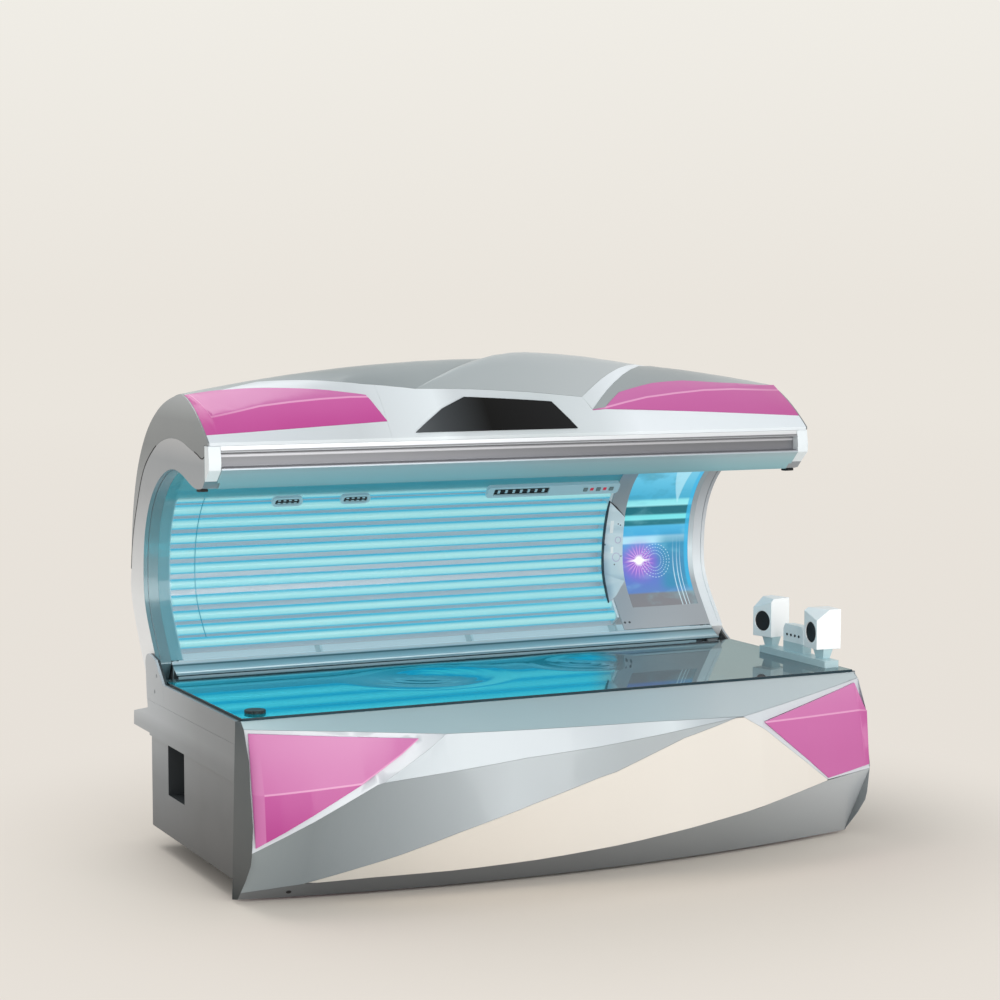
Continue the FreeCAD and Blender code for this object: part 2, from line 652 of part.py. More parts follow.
def make_canopy_inside():
    start, end = 4.0, tunnel_length - 4
    place("canopy_acrylic", [tunnel_band(-ring_inner + touch, acrylic_end - touch, 0, 3,
                                         start, end)])
    first, last = 84.0, tunnel_length - 42
    pitch = (last - first) / (canopy_lamp_count - 1)
    lamps = []
    for i in range(canopy_lamp_count):
        point, along, out = tunnel_frame(first + pitch * i)
        centre = point + out * lamp_depth
        lamps.append(Part.makeCylinder(lamp_radius, lamp_length,
                                       V(lamp_start, centre.y, centre.z), V(1, 0, 0)))
    holders = [tunnel_band(x, x + lampholder_width, 5, reflector_depth - 0.7, 62, tunnel_length - 14)
               for x in (lamp_start - lampholder_width, lamp_start + lamp_length)]
    for x in (glass_start + face_lamp_margin - lampholder_width, glass_end - face_lamp_margin):
        holders.append(tunnel_band(x, x + lampholder_width, 20, reflector_depth - 0.7,
                                   window[0] + 20, window[0] + 560))
    for i in range(4):
        point, along, out = tunnel_frame(window[0] + 60 + 160 * i)
        centre = point + out * 40
        lamps.append(Part.makeCylinder(8, glass_end - glass_start - 2 * face_lamp_margin,
                                       V(glass_start + face_lamp_margin, centre.y, centre.z),
                                       V(1, 0, 0)))
    place("canopy_lamps", lamps)
    place("canopy_lampholders", holders)
    place("canopy_reflector", [
        folded_band(lamp_start - lampholder_width, head_rib_x - touch, reflector_depth,
                    reflector_depth + 1.5, 62, tunnel_length - 14),
        folded_band(head_rib_x + rib_thickness + touch, rib_outer - rib_thickness - touch,
                    reflector_depth, reflector_depth + 1.5, 62, tunnel_length - 14)])
    face = tunnel_band(acrylic_end + touch, ring_inner - touch, 0, 4, start, end)
    face = face.cut(tunnel_band(glass_start, glass_end, -2, 6, *window))
    screws = []
    for x in (acrylic_end + 12, acrylic_end + 32):
        face = face.cut(on_tunnel(Part.makeCylinder(5, 20, V(0, 0, -10)), x, 34))
        screws.append(on_tunnel(Part.makeCylinder(4.9, 3.5, V(0, 0, -3)), x, 34))
    place("face_frame", [face] + screws)
    place("face_glass", [tunnel_band(glass_start + touch, glass_end - touch, 0.6, 3.6,
                                     window[0] + touch, window[1] - touch)])
    rail = side_plate([(830, 605), (833, 600.8), (889, 636.6), (892.6, 641.4), (891.4, 646.6),
                       (888, 646), (884, 639.5), (846, 615.2), (842, 616.4), (840.4, 611.6),
                       (834, 607.6), (829, 610), (826.4, 606)], -ring_inner + touch,
                      ring_inner - touch)
    place("lower_rails", [rail])


def lip_clearance(x0, x1, y_limit):
    return box(x0, x1, y_limit - 400, y_limit, 1200, 1500)


def make_canopy_frame():
    def rib(x0, near):
        plate = tunnel_band(x0, x0 + rib_thickness, near, frame_depth)
        return plate.cut(lip_clearance(x0 - 1, x0 + rib_thickness + 1, lip_rear + touch))

    def arm(side):
        x0, x1 = sorted((side * rib_outer, side * (rib_outer - rib_thickness)))
        plate = rib(x0, 5)
        for centre, radius in (((pivot_y, pivot_z), 27), (tail_eye, 18)):
            plate = plate.fuse(rod(V(x0, *centre), V(x1, *centre), radius))
        plate = plate.fuse(side_plate(bar_outline((pivot_y, pivot_z), tail_eye, 12.5), x0, x1))
        plate = plate.cut(hinge_rod(x0 - 1, x1 + 1, pin_radius))
        return plate.fuse(rod(V(side * (rib_outer - 2), *tail_eye),
                              V(side * (spring_x - 6.5), *tail_eye), 6))
    middle = (-500.0, 100.0)
    pieces = [arm(-1), arm(1), rib(head_rib_x, reflector_depth + 1.8)]
    pieces += [rib(x, reflector_depth + 1.8) for x in middle]
    stops = [-rib_outer + rib_thickness, middle[0], middle[0] + rib_thickness, middle[1],
             middle[1] + rib_thickness, head_rib_x, head_rib_x + rib_thickness,
             rib_outer - rib_thickness]
    for start, stop in zip(stops[0::2], stops[1::2]):
        for distance in (150.0, tunnel_length / 2, tunnel_length - 170):
            pieces.append(tunnel_band(start, stop, reflector_depth + 16, frame_depth - 8,
                                      distance, distance + 36))
    place("canopy_frame", [pieces[0].multiFuse(pieces[1:])])


def bar_outline(a, b, half_width):
    run = V(0, b[0] - a[0], b[1] - a[1]).normalize()
    side = V(0, -run.z, run.y) * half_width
    return [(a[0] + side.y, a[1] + side.z), (b[0] + side.y, b[1] + side.z),
            (b[0] - side.y, b[1] - side.z), (a[0] - side.y, a[1] - side.z)]


# ---------------------------------------------------------------- canopy: end rings and lip
# Outer seam of the ring against the cheek, from the lip up and to the rear (y, z), then the
# outer surface of the rear shell, from the top panels down to its foot.
ring_seam = ((346, 1391), (362, 1384), (413, 1393), (477, 1407), (566, 1427), (665, 1436),
             (734, 1432), (838, 1410), (939, 1364), (1023, 1301), (1092, 1197), (1150, 1080),
             (1183, 944))
shell_rear = ((694, 1570), (799, 1542), (897, 1498), (970, 1450), (1037, 1385), (1087, 1317),
              (1143, 1192), (1176, 1040), (1183, 944), (1190, 866), (1151, 775), (1089, 680),
              (1028, 600), (985, 560))
lip_rear = 392.7
cap_width = 43.0


def shifted(points, distance):
    # moves each point to the right of the way along the points
    moved = []
    for i, point in enumerate(points):
        run = (points[min(i + 1, len(points) - 1)] - points[max(i - 1, 0)]).normalize()
        moved.append(point + V(0, run.z, -run.y) * distance)
    return moved


def spaced(x, points):
    return [V(x, y, z) for y, z in points]


def closed_plate(runs, x0, x1):
    # runs of points; a run of two is a straight edge and a longer one a smooth edge
    edges = []
    for points in runs:
        if len(points) == 2:
            edges += straight_edges(points)
        else:
            edges.append(smooth_edge(points))
    return outline_plate(edges, x0, x1)


def make_rings():
    x0, x1 = -half_canopy, -ring_inner
    inner = spaced(x0, tunnel_outline)
    seam_points = shifted(spaced(x0, ring_seam), touch)
    tail = [seam_points[-1]] + shifted(spaced(x0, shell_rear), 0)[9:]
    corners = [inner[-1], V(x0, 369, 1290), V(x0, 346, 1312), seam_points[0]]
    foot = [tail[-1], V(x0, 972, 545), V(x0, 948, 548), V(x0, 915, 600), V(x0, 893, 640), inner[0]]
    runs = [inner] + [list(pair) for pair in zip(corners, corners[1:])]
    runs += [seam_points, tail] + [list(pair) for pair in zip(foot, foot[1:])]
    ring = closed_plate(runs, x0, x1)
    # the rear shell lies in the back of each ring
    outer = spaced(-half_canopy + 5, shell_rear)
    bed_outer, bed_inner = shifted(outer, -6), shifted(outer, skin_thickness + 0.6)
    bed = closed_plate([bed_outer, [bed_outer[-1], bed_inner[-1]], bed_inner[::-1],
                        [bed_inner[0], bed_outer[0]]], -half_canopy + 5, x1 + 1)
    # a groove round the inside sets off the outer bead of the ring
    groove = tunnel_band(x0 + 14, x0 + 17, -2, 3, 14, tunnel_length - 14)
    ring = ring.cut(bed).cut(groove)
    whole = max(ring.Solids, key=lambda solid: solid.Volume)
    place("canopy_end_rings", both_ends(whole))


def make_cheeks():
    x0, x1 = -half_canopy, -half_canopy + 5
    slope = [V(x0, y, surface_z(x0, y)) for y in steps(brow_y, crest_y, 6)]
    rear = [slope[-1]] + spaced(x0, shell_rear[:9])
    back = spaced(x0, ring_seam)[::-1]
    front = [back[-1], V(x0, 346, brow_foot_z + 1), V(x0, brow_y, brow_foot_z + 1), slope[0]]
    runs = [slope, rear, back] + [list(pair) for pair in zip(front, front[1:])]
    place("canopy_cheeks", both_ends(closed_plate(runs, x0, x1)))


def make_lip():
    top = brow_foot_z - seam
    x0, x1 = -half_canopy + cap_width + touch, half_canopy - cap_width - touch
    body = side_plate([(309, top), (309, 1407), (334, 1402), (334, 1360), (300, 1357), (299, 1350),
                       (366, 1286), (lip_rear, 1286), (lip_rear, top)], x0, x1)
    body = body.cut(side_plate([(340, top - 4), (340, 1352), (362, 1300), (388, 1292),
                                (388, top - 4)], x0 - 1, x1 + 1))
    for side in (-1, 1):
        edge = side * (ring_inner - touch)
        body = body.cut(box(min(edge, side * 1200), max(edge, side * 1200), 345.7, 400, 1280, 1430))
    place("lip_extrusion", [body])
    cap = side_plate([(308, top), (300, 1377), (302, 1350), (345.7, 1311.6), (345.7, top)],
                     -half_canopy, -half_canopy + cap_width)
    place("lip_end_caps", both_ends(cap))
    x = -half_canopy + 2
    place("lip_bumpers", both_ends(tunnel_band(x, x + 26, -9, -touch, tunnel_length - 44,
                                               tunnel_length - 1)))


# ---------------------------------------------------------------- canopy: top panels
def rise(x):
    return crest_rise * (1 - (x / half_canopy) ** 2)


def surface_z(x, y):
    # height of the outer surface of the canopy above a point of its plan
    if y <= crest_y:
        share = (y - brow_y) / (crest_y - brow_y)
        return brow_z + (crest_z + rise(x) - brow_z) * (1 - (1 - share) ** slope_power)
    share = (y - crest_y) / (shell_break_y - crest_y)
    return crest_z + rise(x) - (crest_z - shell_rear[0][1]) * share ** 2


def steps(start, end, count):
    return [start + (end - start) * i / count for i in range(count + 1)]


def skin_point(x, y, lift):
    step = 0.5 if y > brow_y + 0.5 else 0.0
    slope = (surface_z(x, y + 0.5) - surface_z(x, y - step)) / (0.5 + step)
    return V(x, y, surface_z(x, y)) + V(0, -slope, 1).normalize() * lift


plan_corners = (-1089, -1045, -1010, -906, -880, -797, -720, -698, -541, -530, -494, -404,
                -352, -157, -34, 70, 136, 180, 265, 288, 340, 419, 523, 576, 640, 711, 760, 785,
                863, 1050)


def plan_grid(start, end):
    even = [drawn_canopy * i / 12 for i in range(-11, 12)]
    even = [x for x in even if min(abs(x - corner) for corner in plan_corners) > 12]
    return [start] + sorted(x for x in even + list(plan_corners) if start + 4 < x < end - 4) + [end]


def skin_panel(start, end, low, high, lift=None, thickness=skin_thickness, foot=False,
               crease=None):
    # a panel of the surface between two lines of its plan, with the given lift along the normal
    sections = []
    for x in plan_grid(start, end):
        a, b = low(x) + seam, high(x) - seam
        if b - a < 0.3:
            a, b = (a + b) / 2 - 0.15, (a + b) / 2 + 0.15
        ways = steps(a, b, 6)
        if crease:
            bend = min(max(crease(x), a + 0.1), b - 0.1)
            ways = steps(a, bend, 3) + steps(bend, b, 3)[1:]
        real_x = x * canopy_stretch
        outer = [skin_point(real_x, y, lift(x, y) if lift else 0.0) for y in ways]
        inner = [skin_point(real_x, y, (lift(x, y) if lift else 0.0) - thickness) for y in ways]
        if crease:
            inner = [skin_point(real_x, y, -thickness) for y in ways]
            edges = [smooth_edge(outer[:4]), smooth_edge(outer[3:])]
        else:
            edges = [smooth_edge(outer)]
        edges += straight_edges([outer[-1], inner[-1]])
        if foot:
            inner[0] = V(real_x, brow_y + thickness, brow_z - 2)
        edges.append(smooth_edge(inner[::-1]))
        if foot:
            edges += straight_edges([inner[0], V(real_x, brow_y + thickness, brow_foot_z),
                                     V(real_x, brow_y, brow_foot_z), outer[0]])
        else:
            edges += straight_edges([inner[0], outer[0]])
        sections.append(Part.Wire(edges))
    return Part.makeLoft(sections, True, True)


left_lens_high = line_through((-1126, 564), (-1045, 551), (-906, 517), (-797, 490), (-698, 465),
                              (-541, 429), (-494, 351))
left_lens_low = line_through((-1127, 336), (-797, 343), (-494, 350))
left_bend = line_through((-1126, 558), (-1089, 408), (-880, 428), (-698, 438), (-541, 427),
                         (-494, 350))
right_lens_high = line_through((288, 366), (340, 372), (419, 418), (576, 458), (711, 481),
                               (863, 488), (1050, 508), (1127, 534))
right_lens_low = line_through((288, 364), (340, 367), (1127, 356))
right_bend = line_through((340, 370), (576, 415), (863, 458), (1050, 498), (1127, 531))
white_head = line_through((-1010, 543), (-880, 560), (-720, 520), (-530, 471), (-494, 465),
                          (-352, 440), (-157, 431), (70, 417), (265, 402))
hood_left = line_through((-352, 440), (-34, 571), (180, shell_break_y))
band_right = line_through((265, 402), (288, 366), (576, 558), (785, shell_break_y))
band_left = line_through((265, 402), (523, 554), (640, 625), (760, shell_break_y))
skin_end = half_canopy - 5 - touch
drawn_end = skin_end / canopy_stretch


def hood_lift(x, y):
    left = line_through((440, -352), (571, -34), (shell_break_y, 180))(y)
    right = line_through((402, 265), (554, 523), (625, 640), (shell_break_y, 760))(y)
    share = min(max((x - left) / (right - left), 0.0), 1.0)
    front = min(max((y - white_head(x)) / 80.0, 0.0), 1.0)
    rear = min(max((shell_break_y - y) / 70.0, 0.0), 1.0)
    return hood_rise * math.sin(math.pi * math.sqrt(share)) * front * rear


def hood_low(x):
    return white_head(x) if x < 265 else band_left(x)


def hood_high(x):
    return hood_left(x) if x < 180 else shell_break_y


def brow_high(x):
    return white_head(x) if x < 265 else (band_right(x) if x < 288 else right_lens_low(x))


def left_shell_low(x):
    if x < -1010:
        return left_lens_high(x)
    return white_head(x) if x < -352 else hood_left(x)


def make_top():
    def front_line(x):
        return brow_y - seam

    def rear_line(x):
        return shell_break_y
    place("canopy_brow", [
        skin_panel(-drawn_end, -494 - seam, front_line, left_lens_low, foot=True),
        skin_panel(-494, drawn_end, front_line, brow_high, foot=True),
        skin_panel(-1010, -494 - seam, left_lens_high, white_head),
        skin_panel(265, 785, band_right, band_left)])
    place("canopy_top_shells", [
        skin_panel(-drawn_end, 180, left_shell_low, rear_line),
        skin_panel(288, drawn_end, right_lens_high,
                   lambda x: band_right(x) if x < 785 else shell_break_y)])
    place("canopy_hood", [skin_panel(-352, 760, hood_low, hood_high, hood_lift)])
    left_swell = line_through((-1126, 0), (-1089, 12), (-541, 4), (-494, 0))
    right_swell = line_through((340, 0), (576, 8), (1127, 8))

    def swollen(line, swell):
        def lift(x, y):
            return swell(x) * max(1 - abs(y - line(x)) / 60.0, 0.0)
        return lift
    place("canopy_lenses", [
        skin_panel(-drawn_end, -494 - seam, left_lens_low, left_lens_high,
                   swollen(left_bend, left_swell), crease=left_bend),
        skin_panel(288, drawn_end, right_lens_low, right_lens_high,
                   swollen(right_bend, right_swell), crease=right_bend)])
    place("display_glass", [skin_panel(
        -404, 204, line_through((-404, 318), (204, 318)),
        line_through((-404, 320), (-217, 408), (136, 388), (204, 320)),
        lambda x, y: display_thickness + 2 * touch, display_thickness)])
    sections = []
    for x in steps(-skin_end, skin_end, 12):
        stretch = rise(x) / (crest_z - stretch_z)
        outer = [V(x, y, z + max(z - stretch_z, 0) * stretch) for y, z in shell_rear]
        outer[0] = V(x, shell_break_y + seam, surface_z(x, shell_break_y))
        inner = shifted(outer, skin_thickness)
        inner[0] = V(x, shell_break_y + seam, outer[0].z - skin_thickness)
        edges = [smooth_edge(outer)] + straight_edges([outer[-1], inner[-1]])
        edges.append(smooth_edge(inner[::-1]))
        edges += straight_edges([inner[0], outer[0]])
        sections.append(Part.Wire(edges))
    place("canopy_rear_shell", [Part.makeLoft(sections, True, True)])


# ---------------------------------------------------------------- fittings in the tunnel
nozzle_x = (lamp_start + 412.5, lamp_start + 673.0)
nozzle_at = 602.0
vent_x = (lamps_end - 554, lamps_end - 2)
vent_at = 612.0
louvre_x = (lamps_end - 528, lamps_end - 300)
key_x = (lamps_end - 146, lamps_end - 91, lamps_end - 36)
lamp_x = (lamps_end - 118.5, lamps_end - 63.5)


def rounded_bar(x0, x1, y0, y1, z0, z1, radius):
    bar = box(x0, x1, y0, y1, z0, z1)
    return bar.makeFillet(radius, [e for e in bar.Edges if is_upright(e)])


def make_fittings():
    bezels = []
    for name, x in zip(("nozzle_left", "nozzle_right"), nozzle_x):
        bezel = rounded_bar(-58, 58, -21, 21, 1, 13, 20)
        bezel = bezel.cut(rounded_bar(-47, 47, -13, 13, 3, 14, 12))
        pivots = rod(V(-48, 0, 9), V(-44, 0, 9), 2).fuse(rod(V(44, 0, 9), V(48, 0, 9), 2))
        bezels.append(on_tunnel(bezel.fuse(pivots), x, nozzle_at))
        vane = rod(V(-43.5, 0, 9), V(43.5, 0, 9), 4.5)
        vane = vane.fuse(box(-43.5, 43.5, -9, 9, 8, 10))
        sockets = rod(V(-45, 0, 9), V(-38, 0, 9), 2.05).fuse(rod(V(38, 0, 9), V(45, 0, 9), 2.05))
        place(name, [on_tunnel(vane.cut(sockets), x, nozzle_at)])
    place("nozzle_bezels", bezels)
    middle = (vent_x[0] + vent_x[1]) / 2
    bar = rounded_bar(vent_x[0], vent_x[1], -26, 26, 1.3, 17, 12)
    bar = bar.cut(rounded_bar(louvre_x[0], louvre_x[1], -17, 17, 5, 18, 4))
    axle_z = 11.0
    bar = bar.fuse(rod(V(louvre_x[0] - 1, 0, axle_z), V(louvre_x[0] + 4, 0, axle_z), 1.5))
    bar = bar.fuse(rod(V(louvre_x[1] - 4, 0, axle_z), V(louvre_x[1] + 1, 0, axle_z), 1.5))
    for x in key_x:
        bar = bar.cut(box(x - 9, x + 9, -9, 9, 8, 18))
    lights = [box(x - 7, x + 7, -7, 7, 14, 18) for x in lamp_x]
    for x, light in zip(lamp_x, lights):
        bar = bar.cut(box(x - 7.2, x + 7.2, -7.2, 7.2, 14, 18))
    place("vent_bar", [on_tunnel(shape.translated(V(-middle, 0, 0)), middle, vent_at)
                       for shape in [bar] + lights])
    louvre = box(louvre_x[0] + 1, louvre_x[1] - 1, -12, 12, axle_z - 1, axle_z + 1)
    louvre = louvre.fuse(rod(V(louvre_x[0] + 1, 0, axle_z), V(louvre_x[1] - 1, 0, axle_z), 3))
    for y in (-11, 11):
        louvre = louvre.fuse(box(louvre_x[0] + 1, louvre_x[1] - 1, y - 1, y + 1,
                                 axle_z - 3, axle_z + 3))
    sockets = rod(V(louvre_x[0], 0, axle_z), V(louvre_x[0] + 5, 0, axle_z), 1.55)
    sockets = sockets.fuse(rod(V(louvre_x[1] - 5, 0, axle_z), V(louvre_x[1], 0, axle_z), 1.55))
    louvre = louvre.cut(sockets)
    place("vent_louvre", [on_tunnel(louvre.translated(V(-middle, 0, 0)), middle, vent_at)])
    for name, x in zip(("key_start", "key_cooling", "key_stop"), key_x):
        key = rounded_bar(-8.7, 8.7, -8.7, 8.7, 10.5, 20, 1.5)
        place(name, [on_tunnel(key, x, vent_at)])
    # the control panel stands on the tunnel, pointed at both ends and straight in the middle
    left = line_through((123, -34), (538, -17))
    right = line_through((123, -30), (150, 10), (211, 62), (469, 64), (510, 24), (538, -13))
    depth = line_through((123, 3), (180, 10), (480, 10), (538, 3))
    sections = []
    for distance in (123, 150, 180, 211, 245, 280, 315, 350, 385, 420, 450, 469, 490, 510, 538):
        point, along, out = tunnel_frame(distance)
        base, front = point - out * 0.8, point - out * (0.8 + depth(distance))
        x0, x1 = acrylic_end + left(distance), acrylic_end + right(distance)
        sections.append([base + V(x0, 0, 0), base + V(x1, 0, 0), front + V(x1 - 2, 0, 0),
                         front + V(x0 + 2, 0, 0)])
    place("control_panel", [loft(sections)])


make_front()
make_sides()
make_corner_trims()
make_rear()
make_frame()
make_bench()
make_speakers()
make_inside()
make_hinge()
make_springs()
make_canopy_inside()
make_canopy_frame()
make_rings()
make_cheeks()
make_lip()
make_top()
make_fittings()

# The origin goes to the middle of the outer box, on the floor.
outer_box = Part.makeCompound(nodes["front_grey_facet"] + nodes["front_pale_facet"]
                              + nodes["canopy_rear_shell"]).optimalBoundingBox(True, False)
y_centre = (outer_box.YMin + outer_box.YMax) / 2
os.makedirs("parts", exist_ok=True)
for name, solids in nodes.items():
    for solid in solids:
        if not solid.isValid() or solid.Volume <= 0:
            print("BAD", name, solid.isValid(), solid.Volume)
    whole = Part.makeCompound(solids)
    whole.translate(V(0, -y_centre, 0))
    whole.exportStep("parts/" + name + ".step")
print(len(nodes), "nodes")
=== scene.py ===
import json
import math

import bpy
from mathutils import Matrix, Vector


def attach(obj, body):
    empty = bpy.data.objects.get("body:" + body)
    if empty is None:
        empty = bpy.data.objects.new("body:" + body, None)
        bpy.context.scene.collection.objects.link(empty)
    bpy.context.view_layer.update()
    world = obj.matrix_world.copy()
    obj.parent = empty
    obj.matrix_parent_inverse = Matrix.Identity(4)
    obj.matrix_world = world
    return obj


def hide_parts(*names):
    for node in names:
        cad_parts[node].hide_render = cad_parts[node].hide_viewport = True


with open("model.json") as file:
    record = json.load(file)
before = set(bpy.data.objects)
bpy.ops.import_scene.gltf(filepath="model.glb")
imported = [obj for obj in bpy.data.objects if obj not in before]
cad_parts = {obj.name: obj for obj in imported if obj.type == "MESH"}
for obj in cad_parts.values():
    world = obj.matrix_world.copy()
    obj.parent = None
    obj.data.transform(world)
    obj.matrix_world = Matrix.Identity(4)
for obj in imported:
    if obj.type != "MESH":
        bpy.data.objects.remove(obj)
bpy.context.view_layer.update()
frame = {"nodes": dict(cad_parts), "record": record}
cadNodes = frame["nodes"]
bodyOf = {node: body for body, members in frame["record"]["behaviour"]["bodies"].items() for node in members}


# ---- working helpers
def deselectAll():
    for item in bpy.context.selected_objects:
        item.select_set(False)


def pick(piece):
    deselectAll()
    piece.select_set(True)
    bpy.context.view_layer.objects.active = piece


def editOn(piece, select="SELECT"):
    pick(piece)
    bpy.ops.object.mode_set(mode="EDIT")
    bpy.ops.mesh.select_all(action=select)


def editOff():
    bpy.ops.object.mode_set(mode="OBJECT")


def applyModifier(piece, kind, **values):
    pick(piece)
    modifier = piece.modifiers.new(kind.title(), kind)
    for key, value in values.items():
        setattr(modifier, key, value)
    bpy.ops.object.modifier_apply(modifier=modifier.name)


def smoothByAngle(piece, degrees):
    # large faces keep their own direction, so that flat panels stay flat beside their rounded edges
    pick(piece)
    bpy.ops.object.shade_smooth_by_angle(angle=math.radians(degrees))
    applyModifier(piece, "WEIGHTED_NORMAL", mode="FACE_AREA", weight=60, keep_sharp=True)


def setMaterial(piece, material):
    piece.data.materials.clear()
    piece.data.materials.append(material)


def settle(piece, name, finish, body):
    # the piece gets its place in its mesh, its finish and its body
    pick(piece)
    bpy.ops.object.transform_apply(location=True, rotation=True, scale=True)
    piece.name = name
    piece.data.name = name
    setMaterial(piece, finishes[finish])
    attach(piece, body)


def splitLoose(piece):
    # the separate solids of a piece, the largest first
    editOn(piece)
    bpy.ops.mesh.separate(type="LOOSE")
    editOff()
    parts = list(bpy.context.selected_objects)
    deselectAll()
    return sorted(parts, key=lambda part: -part.dimensions.length)


def sRGB(*levels):
    # screen levels 0 to 255 as the linear values that the shaders use
    shares = [level / 255 for level in levels]
    return tuple(share / 12.92 if share < 0.04045 else ((share + 0.055) / 1.055) ** 2.4
                 for share in shares) + (1.0,)


# ---- shader maths
class Wire:
    def __init__(self, net, socket):
        self.net = net
        self.socket = socket

    def maths(self, operation, other=None, flip=False, clamp=False):
        pair = [self] if other is None else ([other, self] if flip else [self, other])
        return self.net.add("ShaderNodeMath", {"operation": operation, "use_clamp": clamp},
                            dict(enumerate(pair)))

    def __add__(self, other): return self.maths("ADD", other)
    def __radd__(self, other): return self.maths("ADD", other)
    def __sub__(self, other): return self.maths("SUBTRACT", other)
    def __rsub__(self, other): return self.maths("SUBTRACT", other, True)
    def __mul__(self, other): return self.maths("MULTIPLY", other)
    def __rmul__(self, other): return self.maths("MULTIPLY", other)
    def __pow__(self, other): return self.maths("POWER", other)
    def __neg__(self): return self.maths("MULTIPLY", -1.0)
    def sine(self): return self.maths("SINE")
    def root(self): return self.maths("SQRT")
    def size(self): return self.maths("ABSOLUTE")
    def above(self, level): return self.maths("GREATER_THAN", level)
    def below(self, level): return self.maths("LESS_THAN", level)
    def angleTo(self, other): return self.maths("ARCTAN2", other)
    def limited(self): return self.maths("ADD", 0.0, clamp=True)

    def ramp(self, low, high):
        # 0 at low, 1 at high, smooth between
        if low > high:
            return 1.0 - self.ramp(high, low)
        return self.net.add("ShaderNodeMapRange", {"interpolation_type": "SMOOTHSTEP"},
                            {"Value": self, "From Min": low, "From Max": high})


class Net:
    def __init__(self, name, owner=None, shader="Principled BSDF"):
        self.material = owner or bpy.data.materials.new(name)
        self.material.use_nodes = True
        self.tree = self.material.node_tree
        self.shader = self.tree.nodes[shader]

    def feed(self, socket, value):
        if isinstance(value, Wire):
            self.tree.links.new(value.socket, socket)
        elif hasattr(socket, "default_value"):
            socket.default_value = value

    def add(self, kind, settings, inputs, output=0):
        node = self.tree.nodes.new(kind)
        for key, value in settings.items():
            if key == "stops":
                strip = node.color_ramp.elements
                (strip[0].position, strip[0].color), (strip[1].position, strip[1].color) = value[0], value[-1]
                for position, colour in value[1:-1]:
                    strip.new(position).color = colour
            else:
                setattr(node, key, value)
        for key, value in inputs.items():
            self.feed(node.inputs[key], value)
        return Wire(self, node.outputs[output])

    def split(self, source):
        node = self.add("ShaderNodeSeparateXYZ", {}, {"Vector": source}).socket.node
        return [Wire(self, node.outputs[i]) for i in range(3)]

    def place(self):
        return self.add("ShaderNodeTexCoord", {}, {}, "Object")

    def axes(self):
        return self.split(self.place())

    def normals(self):
        return self.split(self.add("ShaderNodeTexCoord", {}, {}, "Normal"))

    def noise(self, scale, detail=3.0, stretch=(1, 1, 1)):
        mapped = self.add("ShaderNodeMapping", {}, {"Vector": self.place(), "Scale": stretch})
        return self.add("ShaderNodeTexNoise", {}, {"Vector": mapped, "Scale": scale, "Detail": detail})

    def bands(self, wire, stops):
        # a colour that changes along a measured line, stops given in its own units
        low, high = stops[0][0], stops[-1][0]
        scaled = [((position - low) / (high - low), sRGB(*colour)) for position, colour in stops]
        return self.add("ShaderNodeValToRGB", {"stops": scaled}, {"Fac": (wire - low) * (1 / (high - low))})

    def line(self, wire, stops):
        # a height that follows straight pieces between its stops
        height = stops[0][1]
        for (start, low), (end, high) in zip(stops, stops[1:]):
            height = (wire - start).maths("MULTIPLY", 1 / (end - start), clamp=True) * (high - low) + height
        return height

    def mix(self, factor, first, second, blend="MIX"):
        node = self.add("ShaderNodeMix", {"data_type": "RGBA", "blend_type": blend},
                        {0: factor, 6: first, 7: second}).socket.node
        return Wire(self, node.outputs[2])

    def facing(self, axis, low, high):
        # 1 where the surface is turned along an axis
        return self.normals()[axis].ramp(low, high)

    def layers(self, values):
        # a plain colour, or colours that change along the bed's length, depth or height, laid over each other
        tint = values.get("colour")
        for axis, key in enumerate(("alongX", "alongY", "alongZ")):
            if key in values:
                band = self.bands(self.axes()[axis], values[key])
                tint = self.mix(1.0, tint, band, "MULTIPLY") if tint else band
        return tint

    def bump(self, height, strength, distance):
        self.set("Normal", self.add("ShaderNodeBump", {}, {"Height": height, "Strength": strength,
            "Distance": distance}))

    def shine(self, colour, strength):
        return self.set("Emission Color", colour).set("Emission Strength", strength)

    def set(self, socket, value):
        self.feed(self.shader.inputs[socket], value)
        return self


black = (0, 0, 0, 1)
paintHaze = (0.95, 0.955, 0.96, 1)
wearHaze = (0.9, 0.905, 0.91, 1)


def lacquer(name, values):
    # sprayed panel paint: a slight cloudiness, faint orange peel and a clear coat
    net = Net(name)
    tint = net.layers(values)
    # painted lamp light and shade: faces at the foot end turned one way take a teal tone
    for axis, low, high, colour in values.get("footTurned", ()):
        tint = net.mix(net.facing(axis, low, high) * net.axes()[0].below(0.0), tint, colour)
    # painted shade: parts lying inward of the panel face, such as the grip recess, are darkened
    if "insideX" in values:
        limit, colour = values["insideX"]
        tint = net.mix(net.axes()[0].size().below(limit), tint, colour)
    cloud = net.noise(2.5, 2.0).ramp(0.3, 0.7)
    net.set("Base Color", net.mix(cloud * values.get("cloud", 0.3), tint, paintHaze, "MULTIPLY"))
    net.set("Specular IOR Level", values.get("specular", 0.5))
    # painted glow: faces turned one way give off a teal light, standing in for lamp light falling on them
    if "lit" in values:
        axis, low, high, colour = values["lit"]
        net.shine(net.mix(net.facing(axis, low, high), black, colour), 1.0)
    net.set("Metallic", values.get("metallic", 0.0))
    rough = values["roughness"]
    net.set("Roughness", net.noise(6.0, 2.0) * (rough * 0.2) + rough * 0.9)
    net.set("Coat Weight", values.get("coat", 0.3)).set("Coat Roughness", 0.08)
    net.bump(net.noise(90.0, 1.0), values.get("peel", 0.02), 0.0003)
    return net.material


